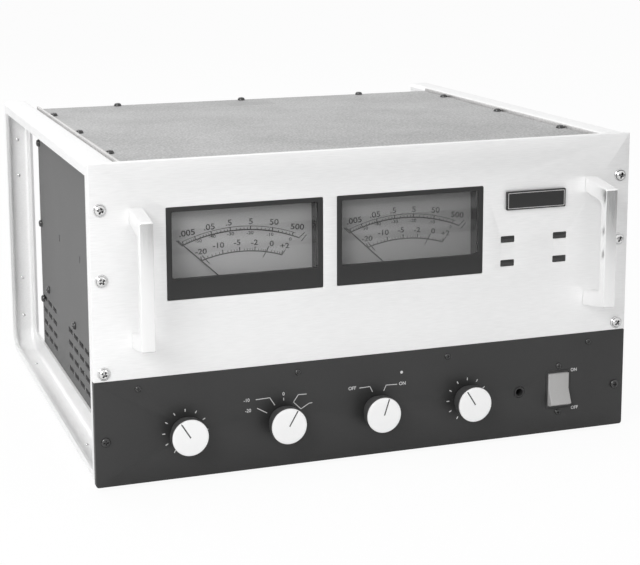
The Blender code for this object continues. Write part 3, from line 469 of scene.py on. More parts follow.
def turnedMesh(profile, center, toward=(0, -1, 0), steps=64, builder=None):
    builder = builder or bmesh.new()
    turn = Vector((0, 0, 1)).rotation_difference(Vector(toward)).to_matrix()
    rings = []
    for radius, along in profile:
        count = steps if radius > 1e-7 else 1
        ring = []
        for step in range(count):
            angle = step / steps * 2 * math.pi
            point = Vector((radius * math.cos(angle), radius * math.sin(angle), along))
            ring.append(builder.verts.new(turn @ point + Vector(center)))
        rings.append(ring)
    for here, after in zip(rings, rings[1:]):
        for step in range(steps):
            near = here[:1] if len(here) == 1 else [here[step - 1], here[step]]
            far = after[:1] if len(after) == 1 else [after[step], after[step - 1]]
            if len(near) + len(far) > 2:
                builder.faces.new(near + far)
    return builder


def softNode(name, node, finish, body="chassis", edge=0.0004, sharp=35):
    builder = bmesh.new()
    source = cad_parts[node]
    builder.from_mesh(source.data)
    bmesh.ops.remove_doubles(builder, verts=builder.verts, dist=1e-6)
    bmesh.ops.dissolve_limit(builder, angle_limit=0.02, verts=builder.verts, edges=builder.edges)
    creases = [e for e in builder.edges if len(e.link_faces) == 2 and e.calc_face_angle() > 0.7]
    bmesh.ops.bevel(
        builder, geom=creases, offset=edge, segments=2, affect="EDGES", profile=0.6, clamp_overlap=True
    )
    return addPiece(name, builder, finish, body, (node,), sharp)


# Geometry Nodes trees
def endTree(tree, geometry, finish, end):
    real = addNode(tree, "GeometryNodeRealizeInstances", {"Geometry": geometry})
    painted = addNode(tree, "GeometryNodeSetMaterial", {"Geometry": real.outputs[0], "Material": finish})
    tree.links.new(painted.outputs[0], end.inputs[0])
    return tree


def makeMarksTree():
    tree, given, end = newTree(
        "printed marks",
        "GeometryNodeTree",
        (
            ("Geometry", "NodeSocketGeometry", None),
            ("Depth", "NodeSocketFloat", 0.00006),
            ("Finish", "NodeSocketMaterial", None),
        ),
        (("Geometry", "NodeSocketGeometry"),),
    )
    turn = addNode(tree, "GeometryNodeInputNamedAttribute", {"Name": "turn"}, data_type="FLOAT")
    size = addNode(tree, "GeometryNodeInputNamedAttribute", {"Name": "size"}, data_type="FLOAT_VECTOR")
    euler = addNode(tree, "ShaderNodeCombineXYZ", {1: turn.outputs[0]})
    rotation = addNode(tree, "FunctionNodeEulerToRotation", {0: euler.outputs[0]})
    parts = addNode(tree, "ShaderNodeSeparateXYZ", {0: size.outputs[0]})
    scale = addNode(
        tree, "ShaderNodeCombineXYZ", {0: parts.outputs[0], 1: given["Depth"], 2: parts.outputs[2]}
    )
    bar = addNode(tree, "GeometryNodeMeshCube", {"Size": (1, 1, 1)})
    placed = addNode(
        tree,
        "GeometryNodeInstanceOnPoints",
        {
            "Points": given["Geometry"], "Instance": bar.outputs["Mesh"],
            "Rotation": rotation.outputs[0], "Scale": scale.outputs[0],
        },
    )
    return endTree(tree, placed.outputs[0], given["Finish"], end)


def makeFastenerTree():
    tree, given, end = newTree(
        "fasteners",
        "GeometryNodeTree",
        (
            ("Geometry", "NodeSocketGeometry", None),
            ("Head", "NodeSocketObject", None),
            ("Seed", "NodeSocketInt", 3),
            ("Finish", "NodeSocketMaterial", None),
        ),
        (("Geometry", "NodeSocketGeometry"),),
    )
    facing = addNode(tree, "GeometryNodeInputNamedAttribute", {"Name": "facing"}, data_type="FLOAT_VECTOR")
    aligned = addNode(
        tree, "FunctionNodeAlignRotationToVector", {"Vector": facing.outputs[0]}, axis="Z"
    )
    spin = addNode(
        tree, "FunctionNodeRandomValue", {2: 0.0, 3: math.pi, "Seed": given["Seed"]}, data_type="FLOAT"
    )
    euler = addNode(tree, "ShaderNodeCombineXYZ", {2: spin.outputs[1]})
    rotation = addNode(tree, "FunctionNodeEulerToRotation", {0: euler.outputs[0]})
    turned = addNode(
        tree,
        "FunctionNodeRotateRotation",
        {0: aligned.outputs[0], 1: rotation.outputs[0]},
        rotation_space="LOCAL",
    )
    head = addNode(tree, "GeometryNodeObjectInfo", {"Object": given["Head"]})
    placed = addNode(
        tree,
        "GeometryNodeInstanceOnPoints",
        {"Points": given["Geometry"], "Instance": head.outputs["Geometry"], "Rotation": turned.outputs[0]},
    )
    return endTree(tree, placed.outputs[0], given["Finish"], end)


def makePerforatedTree():
    tree, given, end = newTree(
        "perforated sheet",
        "GeometryNodeTree",
        (
            ("Geometry", "NodeSocketGeometry", None),
            ("Width", "NodeSocketFloat", 0.3),
            ("Height", "NodeSocketFloat", 0.2),
            ("Thickness", "NodeSocketFloat", 0.002),
            ("Slot Length", "NodeSocketFloat", 0.0145),
            ("Slot Height", "NodeSocketFloat", 0.005),
            ("Key Width", "NodeSocketFloat", 0.0035),
            ("Key Length", "NodeSocketFloat", 0.007),
            ("Fillet Share", "NodeSocketFloat", 0.36),
            ("Finish", "NodeSocketMaterial", None),
        ),
        (("Geometry", "NodeSocketGeometry"),),
    )
    outer = addNode(
        tree, "GeometryNodeCurvePrimitiveQuadrilateral", {"Width": given["Width"], "Height": given["Height"]}
    )
    kind = addNode(tree, "GeometryNodeInputNamedAttribute", {"Name": "kind"}, data_type="INT")
    joined = addNode(tree, "GeometryNodeJoinGeometry", {0: outer.outputs[0]})
    sizes = (("Slot Length", "Slot Height"), ("Key Width", "Key Length"))
    for index, (width, height) in enumerate(sizes):
        shape = addNode(
            tree, "GeometryNodeCurvePrimitiveQuadrilateral", {"Width": given[width], "Height": given[height]}
        )
        radius = combine(tree, combine(tree, given[width], given[height], "MINIMUM"), given["Fillet Share"])
        soft = addNode(
            tree,
            "GeometryNodeFilletCurve",
            {"Curve": shape.outputs[0], "Radius": radius, "Count": 6},
            mode="POLY",
        )
        same = addNode(
            tree, "FunctionNodeCompare", {2: kind.outputs[0], 3: index}, data_type="INT", operation="EQUAL"
        )
        holes = addNode(
            tree,
            "GeometryNodeInstanceOnPoints",
            {"Points": given["Geometry"], "Selection": same.outputs[0], "Instance": soft.outputs[0]},
        )
        real = addNode(tree, "GeometryNodeRealizeInstances", {"Geometry": holes.outputs[0]})
        tree.links.new(real.outputs[0], joined.inputs[0])
    filled = addNode(tree, "GeometryNodeFillCurve", {0: joined.outputs[0]}, mode="TRIANGLES")
    raised = addNode(
        tree,
        "GeometryNodeExtrudeMesh",
        {"Mesh": filled.outputs[0], "Offset Scale": given["Thickness"], "Individual": False},
        mode="FACES",
    )
    flipped = addNode(tree, "GeometryNodeFlipFaces", {0: filled.outputs[0]})
    shell = addNode(tree, "GeometryNodeJoinGeometry", {0: raised.outputs[0]})
    tree.links.new(flipped.outputs[0], shell.inputs[0])
    merged = addNode(tree, "GeometryNodeMergeByDistance", {"Geometry": shell.outputs[0], "Distance": 1e-6})
    return endTree(tree, merged.outputs[0], given["Finish"], end)


nodeTrees = {"marks": makeMarksTree(), "fasteners": makeFastenerTree(), "perforated": makePerforatedTree()}


def runTree(treeName, points, attributes, values):
    tree = nodeTrees[treeName]
    carrier = bpy.data.meshes.new("points")
    carrier.from_pydata([tuple(point) for point in points], [], [])
    for label, (kind, rows) in attributes.items():
        layer = carrier.attributes.new(label, kind, "POINT")
        key = "vector" if kind == "FLOAT_VECTOR" else "value"
        layer.data.foreach_set(key, [n for row in rows for n in row] if key == "vector" else list(rows))
    holder = bpy.data.objects.new("points", carrier)
    bpy.context.scene.collection.objects.link(holder)
    modifier = holder.modifiers.new("tree", "NODES")
    modifier.node_group = tree
    for item in tree.interface.items_tree:
        if item.item_type == "SOCKET" and item.in_out == "INPUT" and item.name in values:
            modifier[item.identifier] = values[item.name]
    depsgraph = bpy.context.evaluated_depsgraph_get()
    mesh = bpy.data.meshes.new_from_object(holder.evaluated_get(depsgraph))
    bpy.data.objects.remove(holder)
    builder = bmesh.new()
    builder.from_mesh(mesh)
    bpy.data.meshes.remove(mesh)
    return builder


def addMarks(name, marks, y, finish, body="chassis", depth=0.00006):
    # marks: (x, z, turn from upright, width, length)
    builder = runTree(
        "marks",
        [(x, y, z) for x, z, turn, width, length in marks],
        {
            "turn": ("FLOAT", [turn for x, z, turn, width, length in marks]),
            "size": ("FLOAT_VECTOR", [(width, 1, length) for x, z, turn, width, length in marks]),
        },
        {"Depth": depth, "Finish": materials[finish]},
    )
    return addPiece(name, builder, finish, body)


def lineMark(a, b, width):
    (ax, az), (bx, bz) = a, b
    length = math.hypot(bx - ax, bz - az)
    return ((ax + bx) / 2, (az + bz) / 2, math.atan2(bx - ax, bz - az), width, length + width * 0.6)


def keepHead(builder):
    bmesh.ops.recalc_face_normals(builder, faces=builder.faces)
    mesh = bpy.data.meshes.new("head")
    builder.to_mesh(mesh)
    builder.free()
    head = bpy.data.objects.new("head", mesh)
    bpy.context.scene.collection.objects.link(head)
    return head


# Screw heads in mm: radius, height, cross length, width and depth, then the washer's radius and height
headSizes = {
    "rack": (4.2, 1.8, 5.8, 1.6, 1.6, 5.4, 1.0), "low rack": (4.0, 1.9, 4.4, 1.1, 1.2),
    "panel": (2.7, 1.3, 2.8, 0.7, 0.7), "sheet": (3.8, 2.8, 3.8, 1.0, 1.1), "rear": (3.4, 2.0, 3.8, 1.0, 1.1),
    "terminal": (4.0, 2.4, 5.0, 1.2, 1.2), "capacitor": (4.4, 3.0, 5.0, 1.2, 1.2, 6.0, 1.0),
}


def headObject(kind, steps=28):
    radius, height, crossLength, crossWidth, crossDepth, washer, washerHeight = (
        size * mm for size in (*headSizes[kind], 0.0, 0.0)[:7]
    )
    builder = bmesh.new()
    levels = []
    if washer:
        levels += [(washer, 0.0), (washer, washerHeight * 0.55), (washer - washerHeight * 0.5, washerHeight)]
    base = washerHeight
    levels += [(radius, base), (radius, base + height * 0.25), (radius * 0.94, base + height * 0.55)]
    levels += [(radius * 0.8, base + height * 0.85), (radius * 0.62, base + height)]
    rings = []
    for ring, level in levels:
        rings.append([builder.verts.new((*point, level)) for point in circle(0, 0, ring, steps)])
    for near, far in zip(rings, rings[1:]):
        for i in range(steps):
            builder.faces.new((near[i - 1], near[i], far[i], far[i - 1]))
    builder.faces.new(list(reversed(rings[0])))
    half = crossWidth / 2
    reach = crossLength / 2
    corner = [(reach, -half), (reach, half), (half, half)]
    outline = []
    for step in range(4):
        for u, v in corner:
            for _ in range(step):
                u, v = -v, u
            outline.append((u, v))
    top = levels[-1][1]
    mouth = [builder.verts.new((u, v, top)) for u, v in outline]
    floor = [builder.verts.new((u * 0.6, v * 0.6, top - crossDepth)) for u, v in outline]
    for i in range(len(mouth)):
        builder.faces.new((mouth[i - 1], mouth[i], floor[i], floor[i - 1]))
    builder.faces.new(floor)
    edges = []
    for ring in (rings[-1], mouth):
        edges += [builder.edges.get((ring[i - 1], ring[i])) for i in range(len(ring))]
    bmesh.ops.triangle_fill(builder, use_beauty=True, edges=edges)
    return keepHead(builder)


def domeObject(radius, height, rings=5, steps=20):
    turns = [step / rings * quarter for step in range(rings + 1)]
    profile = [(0, 0), (radius, 0)]
    profile += [(radius * math.cos(turn), height * (0.15 + 0.85 * math.sin(turn))) for turn in turns[:-1]]
    profile.append((0, height))
    builder = turnedMesh(profile, (0, 0, 0), (0, 0, 1), steps)
    return keepHead(builder)


def addFasteners(name, places, head, finish, body="chassis", seed=3):
    # places: (point, direction that the head faces)
    builder = runTree(
        "fasteners",
        [point for point, facing in places],
        {"facing": ("FLOAT_VECTOR", [facing for point, facing in places])},
        {"Head": head, "Seed": seed, "Finish": materials[finish]},
    )
    bpy.data.objects.remove(head)
    return addPiece(name, builder, finish, body, sharp=28)


def addText(builder, words, size, x, y, z, turn=0.0, squeeze=1.0, weight=0.0):
    curve = bpy.data.curves.new("words", "FONT")
    curve.body = words
    curve.size = size
    curve.align_x = "CENTER"
    curve.align_y = "CENTER"
    curve.extrude = 0.00003
    curve.offset = weight
    curve.resolution_u = 4
    holder = bpy.data.objects.new("words", curve)
    bpy.context.scene.collection.objects.link(holder)
    depsgraph = bpy.context.evaluated_depsgraph_get()
    mesh = bpy.data.meshes.new_from_object(holder.evaluated_get(depsgraph))
    bpy.data.objects.remove(holder)
    stand = Matrix.Translation((x, y, z)) @ Matrix.Rotation(turn, 4, "Y") @ Matrix.Rotation(quarter, 4, "X")
    mesh.transform(stand @ Matrix.Diagonal((squeeze, 1, 1, 1)))
    builder.from_mesh(mesh)
    bpy.data.meshes.remove(mesh)


def arcBand(builder, center, radius, start, end, width, y, depth=0.00006, steps=60):
    # start and end are turns from upright, clockwise seen from the front
    rings = []
    for step in range(steps + 1):
        turn = start + (end - start) * step / steps
        ring = []
        for reach, back in ((-0.5, 0), (0.5, 0), (0.5, 1), (-0.5, 1)):
            r = radius + reach * width
            x = center[0] + r * math.sin(turn)
            z = center[1] + r * math.cos(turn)
            ring.append(builder.verts.new((x, y - depth / 2 + back * depth, z)))
        rings.append(ring)
    for near, far in zip(rings, rings[1:]):
        for i in range(4):
            builder.faces.new((near[i - 1], near[i], far[i], far[i - 1]))
    builder.faces.new(rings[0])
    builder.faces.new(list(reversed(rings[-1])))


def atZ(height):
    return panelZ + height


print("scene: helpers and node trees made")

# Front panels
upperValues = dict(
    edge=0.5 * mm, cutClearance=0.15 * mm, holeCorner=0.8 * mm, corner=0.6 * mm, meterWidth=133.4 * mm,
    meterHalfHeight=38.1 * mm, meterHeight=188.95 * mm,
)
low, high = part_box("upper_front_panel")
loops = [rectangle(low.x, low.z, high.x, high.z, upperValues["corner"], 3)]
for node in (
    "left_meter_housing", "right_meter_housing", "left_limit_lens", "right_limit_lens",
    "left_normal_lens", "right_normal_lens",
):
    a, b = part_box(node)
    c = upperValues["cutClearance"]
    if node.endswith("housing"):
        middle = (a.x + b.x) / 2
        halfWidth = upperValues["meterWidth"] / 2 + c
        z = atZ(upperValues["meterHeight"])
        halfHeight = upperValues["meterHalfHeight"] + c
        loops.append(rectangle(
            middle - halfWidth, z - halfHeight, middle + halfWidth, z + halfHeight,
            upperValues["holeCorner"], 3,
        ))
    else:
        loops.append(rectangle(a.x - c, a.z - c, b.x + c, b.z + c, upperValues["holeCorner"], 3))
addPiece(
    "upperPanel", plateMesh(loops, high.y - low.y, upperValues["edge"], frontPlane(low.y), 3),
    "silver plate", nodes=("upper_front_panel",),
)

lowerValues = dict(
    edge=0.5 * mm, bottomCorner=2.5 * mm, topCorner=0.5 * mm, shaftHole=5.2 * mm, jackHole=5.1 * mm,
    jackX=138 * mm, jackHeight=40.2 * mm, switchGap=0.15 * mm, switchCorner=0.8 * mm,
)
controls = {"left_gain": -166.1, "meter_range": -81.6, "speakers": 2.9, "right_gain": 87.4}
restTurns = {"left_gain": -32, "meter_range": 30, "speakers": 18, "right_gain": -32}
controlZ = atZ(39.5 * mm)
low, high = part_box("lower_front_panel")
switchLow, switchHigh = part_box("power_switch_body")
bottom = lowerValues["bottomCorner"]
top = lowerValues["topCorner"]
loops = [roundedLoop([
    (low.x, low.z, bottom), (high.x, low.z, bottom), (high.x, high.z, top), (low.x, high.z, top),
])]
loops += [circle(x * mm, controlZ, lowerValues["shaftHole"]) for x in controls.values()]
loops.append(circle(lowerValues["jackX"], atZ(lowerValues["jackHeight"]), lowerValues["jackHole"]))
c = lowerValues["switchGap"]
corner = lowerValues["switchCorner"]
loops.append(rectangle(switchLow.x - c, switchLow.z - c, switchHigh.x + c, switchHigh.z + c, corner, 3))
addPiece(
    "lowerPanel", plateMesh(loops, high.y - low.y, lowerValues["edge"], frontPlane(low.y), 3),
    "black plate", nodes=("lower_front_panel",),
)
print("scene: panels made")

# Blank dark name plate with a thin bright line set in from its edge
badgeValues = dict(inset=1.2 * mm, line=0.55 * mm, rise=0.12 * mm, corner=0.9 * mm, edge=0.35 * mm)
low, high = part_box("name_plate")
outline = rectangle(low.x, low.z, high.x, high.z, badgeValues["corner"])
addPiece(
    "namePlateBody", plateMesh([outline], high.y - low.y, badgeValues["edge"], frontPlane(low.y), 3),
    "meter moulding", nodes=("name_plate",),
)
loops = []
for inset in (badgeValues["inset"], badgeValues["inset"] + badgeValues["line"]):
    loops.append(rectangle(
        low.x + inset, low.z + inset, high.x - inset, high.z - inset, badgeValues["corner"] * 0.7
    ))
rise = badgeValues["rise"]
addPiece("namePlateLine", plateMesh(loops, 2 * rise, 0.04 * mm, frontPlane(low.y - rise), 1), "zinc")

# Handles: a flat bar on two slanting legs
handleValues = dict(
    rootHalf=57.5 * mm, frontHalf=51.7 * mm, leg=13.0 * mm, barDepth=8.0 * mm, edge=0.55 * mm,
    outerBend=1.2 * mm, innerBend=6.0 * mm,
)


def makeHandle(side):
    low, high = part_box(f"{side}_handle")
    middle = (low.z + high.z) / 2
    v = handleValues
    reach = high.y - low.y
    slope = (v["rootHalf"] - v["frontHalf"]) / reach
    innerRoot = v["rootHalf"] - v["leg"]
    innerFront = innerRoot - slope * (reach - v["barDepth"])
    front = low.y
    inside = low.y + v["barDepth"]
    corners = [
        (high.y, middle + v["rootHalf"], 0), (front, middle + v["frontHalf"], v["outerBend"]),
        (front, middle - v["frontHalf"], v["outerBend"]), (high.y, middle - v["rootHalf"], 0),
        (high.y, middle - innerRoot, 0), (inside, middle - innerFront, v["innerBend"]),
        (inside, middle + innerFront, v["innerBend"]), (high.y, middle + innerRoot, 0),
    ]
    loop = roundedLoop(corners, 8)
    builder = plateMesh([loop], high.x - low.x, v["edge"], lambda u, w, d: (low.x + d, u, w), 4)
    addPiece(f"{side}Handle", builder, "bright bar", nodes=(f"{side}_handle",))


for side in ("left", "right"):
    makeHandle(side)
print("scene: handles made")

# Side frames: a bent channel carried round a ring
frameValues = dict(
    sheet=2.5 * mm, bend=6.0 * mm, innerFlange=19.5 * mm, outerLip=10.8 * mm, frontDepth=6.05 * mm,
    rearCorner=25.0 * mm, bendSteps=8, cornerSteps=18,
)


def frameSection(width):
    v = frameValues
    outside = [(0, v["innerFlange"])]
    inside = [(v["sheet"], v["innerFlange"])]
    for center, first in ((v["bend"], math.pi), (width - v["bend"], quarter)):
        for step in range(v["bendSteps"] + 1):
            turn = first - step / v["bendSteps"] * quarter
            for radius, points in ((v["bend"], outside), (v["bend"] - v["sheet"], inside)):
                points.append((center + radius * math.cos(turn), v["bend"] - radius * math.sin(turn)))
    outside.append((width, v["outerLip"]))
    inside.append((width - v["sheet"], v["outerLip"]))
    return outside + inside[::-1]


def makeSideFrame(side, sign):
    low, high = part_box(f"{side}_side_frame")
    v = frameValues
    stations = [("frontTop", 0), ("rearTop", 0)]
    stations += [("corner", step / v["cornerSteps"]) for step in range(v["cornerSteps"] + 1)]
    stations.append(("frontBottom", 0))
    inner = low.x if sign > 0 else high.x
    builder = bmesh.new()
    rings = []
    for kind, share in stations:
        ring = []
        for across, inward in frameSection(high.x - low.x):
            if kind == "frontTop":
                y, z = low.y + min(inward, v["frontDepth"]), high.z - inward
            elif kind == "rearTop":
                y, z = high.y - inward, high.z - inward
            elif kind == "frontBottom":
                y, z = low.y + min(inward, v["frontDepth"]), low.z + inward
            else:
                radius = v["rearCorner"]
                reach = radius - inward
                y = high.y - radius + reach * math.cos(share * quarter)
                z = low.z + radius - reach * math.sin(share * quarter)
            ring.append(builder.verts.new((inner + sign * across, y, z)))
        rings.append(ring)
    for index, ring in enumerate(rings):
        before = rings[index - 1]
        for i in range(len(ring)):
            builder.faces.new((before[i - 1], before[i], ring[i], ring[i - 1]))
    addPiece(f"{side}SideFrame", builder, "frame sheet", nodes=(f"{side}_side_frame",))


for side, sign in (("left", -1), ("right", 1)):
    makeSideFrame(side, sign)

# Side panels: slots and key slots, and a bright strip along the top: the bare top edge, carried down the face as
# painted light that lifts the shade in the groove beside the frame
sideValues = dict(
    slotLength=20.0 * mm, slotHeight=5.0 * mm, rowPitch=12.65 * mm, columnPitch=25.7 * mm, rows=4,
    lowest=31.5 * mm, frontFirst=154.0 * mm, frontColumns=4, rearFirst=314.0 * mm, rearColumns=3,
    keyWidth=3.5 * mm, keyLength=7.0 * mm, keyHeight=150.0 * mm, keyDepths=(176.0 * mm, 275.0 * mm),
    bareEdgeAndPaintedLight=6.0 * mm,
)


def makeSidePanel(side):
    low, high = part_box(f"{side}_side_panel")
    v = sideValues
    strip = rectangle(low.x, low.y, high.x, high.y, 0.5 * mm, 2)
    # bright band: partly the bare top edge, partly painted light over the shaded groove
    addPiece(f"{side}SidePanelEdge", plateMesh([strip], v["bareEdgeAndPaintedLight"], 0.2 * mm, topPlane(high.z)), "zinc")
    high.z -= v["bareEdgeAndPaintedLight"]
    center = (low + high) / 2
    spots = []
    for first, columns in ((v["frontFirst"], v["frontColumns"]), (v["rearFirst"], v["rearColumns"])):
        for column in range(columns):
            for row in range(v["rows"]):
                spots.append((first + column * v["columnPitch"], v["lowest"] + row * v["rowPitch"], 0))
    spots += [(depth, v["keyHeight"], 1) for depth in v["keyDepths"]]
    builder = runTree(
        "perforated",
        [(panelY + depth - center.y, atZ(height) - center.z, 0) for depth, height, kind in spots],
        {"kind": ("INT", [kind for depth, height, kind in spots])},
        {
            "Width": high.y - low.y, "Height": high.z - low.z, "Thickness": high.x - low.x,
            "Slot Length": v["slotLength"], "Slot Height": v["slotHeight"], "Key Width": v["keyWidth"],
            "Key Length": v["keyLength"], "Finish": materials["dark sheet"],
        },
    )
    for vert in builder.verts:
        u, w, d = vert.co
        vert.co = (low.x + d, center.y + u, center.z + w)
    addPiece(f"{side}SidePanel", builder, "dark sheet", nodes=(f"{side}_side_panel",))


for side in ("left", "right"):
    makeSidePanel(side)
print("scene: side frames and panels made")

# Top cover, with a faint bare patch near its back edge
coverValues = dict(
    edge=0.4 * mm, corner=1.0 * mm, patch=(49 * mm, 40 * mm), patchDepth=352 * mm, patchRise=0.1 * mm,
    patchEdge=0.05 * mm,
)
low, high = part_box("top_cover")
loops = [rectangle(low.x, low.y, high.x, high.y, coverValues["corner"])]
addPiece("topCover", plateMesh(loops, high.z - low.z, coverValues["edge"], topPlane(high.z)), "cover paint",
         nodes=("top_cover",))
halfWide, halfDeep = coverValues["patch"][0] / 2, coverValues["patch"][1] / 2
patchY = panelY + coverValues["patchDepth"]
patch = rectangle(-halfWide, patchY - halfDeep, halfWide, patchY + halfDeep, 1.0 * mm)
rise = coverValues["patchRise"]
builder = plateMesh([patch], 2 * rise, coverValues["patchEdge"], topPlane(high.z + rise))
addPiece("coverPatch", builder, "cover patch")
low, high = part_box("bottom_plate")
loops = [rectangle(low.x, low.y, high.x, high.y, 1.0 * mm)]
addPiece("bottomPlate", plateMesh(loops, high.z - low.z, 0.4 * mm, topPlane(high.z)), "zinc",
         nodes=("bottom_plate",))

# Rear panel with a fan grille
rearValues = dict(
    slotHeight=4.0 * mm, slotPitch=10.0 * mm, slots=9, reach=50.0 * mm, fanZ=190.0 * mm, edge=0.3 * mm,
    corner=1.0 * mm, holeHeight=52 * mm, holes=((150 * mm, 7.3 * mm), (108 * mm, 6.3 * mm)),
)
low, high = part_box("rear_panel")
loops = [rectangle(low.x, low.z, high.x, high.z, rearValues["corner"])]
for index in range(rearValues["slots"]):
    offset = (index - (rearValues["slots"] - 1) / 2) * rearValues["slotPitch"]
    half = math.sqrt(rearValues["reach"] ** 2 - offset ** 2)
    z = atZ(rearValues["fanZ"]) + offset
    tall = rearValues["slotHeight"] / 2
    loops.append(rectangle(-half, z - tall, half, z + tall, tall * 0.95, 5))
loops += [circle(x, atZ(rearValues["holeHeight"]), radius) for x, radius in rearValues["holes"]]
builder = plateMesh(loops, high.y - low.y, rearValues["edge"], backPlane(high.y))
addPiece("rearPanel", builder, "dark sheet", nodes=("rear_panel",))
print("scene: cover and rear panel made")

# Feet
footValues = dict(edge=1.6 * mm, steps=48, recess=1.2 * mm, recessShares=(0.4, 0.46))
for end in ("front", "rear"):
    for side in ("left", "right"):
        low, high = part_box(f"{end}_{side}_foot")
        radius = (high.x - low.x) / 2
        edge = footValues["edge"]
        tall = high.z - low.z
        recess = footValues["recess"]
        near, far = footValues["recessShares"]
        profile = [(0, recess), (radius * near, recess), (radius * far, 0)]
        profile += [(radius - edge, 0), (radius - edge * 0.3, edge * 0.3)]
        profile += [(radius, edge), (radius, tall), (0, tall)]
        center = ((low.x + high.x) / 2, (low.y + high.y) / 2, low.z)
        builder = turnedMesh(profile, center, (0, 0, 1), footValues["steps"])
        addPiece(f"{end}{side.title()}Foot", builder, "rubber", nodes=(f"{end}_{side}_foot",))

# Meters
meterValues = dict(
    width=133.4 * mm, height=76.2 * mm, centerZ=188.95 * mm, side=4.4 * mm, top=3.7 * mm, bottom=17.1 * mm,
    bezel=5.0 * mm, ledge=1.0 * mm, edge=0.5 * mm, corner=1.2 * mm, windowCorner=1.0 * mm, wall=2.0 * mm,
    shelf=1.2 * mm, slitFront=0.5 * mm, slitBack=1.9 * mm,
)
dialValues = dict(
    upperCenter=(-0.5, 53.1), upperRadius=147.3, upperTurns=(-19.7, 20.3), lowerCenter=(0.4, 59.8),
    lowerRadius=124.6, lowerTurns=(-15.6, 16.2), arcWidth=0.9 * mm, trackWidth=0.4 * mm,
    majorTick=0.85 * mm, minorTick=0.55 * mm, stroke=0.7 * mm, upperSize=6.0 * mm, lowerSize=5.6 * mm,
    smallSize=3.4 * mm, weight=0.1 * mm, thin=0.05 * mm, widen=1.35, lean=0.3,
    trackRise=2.6, trackTurns=(-19.2, 18.8), upperTall=2.6, lowerTall=3.2, minorShares=(0.3, 0.5, 0.68, 0.85),
    minorTall=0.6, numberRise=7,
)
upperNumbers = (
    (".005", -45.2, 200.8), (".05", -26.4, 204.0), (".5", -9.8, 206.1), ("5", 9.1, 205.9),
    ("50", 29.1, 204.2), ("500", 49.3, 199.4),
)
upperTicks = (-48.5, -38.2, -24.7, -8.6, 8.5, 27.4, 44.8)
lowerNumbers = (
    ("-20", -33.9, 186.3), ("-10", -19.1, 190.0), ("-5", -3.0, 191.0), ("-2", 11.8, 190.1),
    ("0", 26.7, 188.3), ("+2", 38.0, 185.8),
)
lowerTicks = (-33.4, -15.3, -1.0, 12.0, 22.5, 35.2)
smallNumbers = (
    ("-50", -35.9, 194.4), ("-40", -24.2, 197.0), ("-30", -8.6, 197.9), ("-20", 8.2, 197.6),
    ("-10", 25.4, 195.2), ("0", 43.0, 190.6),
)
endStrokes = (
    ((50.4, 191.0), (55.5, 194.8)), ((52.8, 188.8), (57.1, 193.0)), ((-49.5, 191.5), (-54.3, 195.8)),
    ((19.1, 178.8), (24.3, 186.3)), ((35.2, 179.1), (38.6, 183.0)), ((-32.9, 183.4), (-26.9, 177.1)),
)


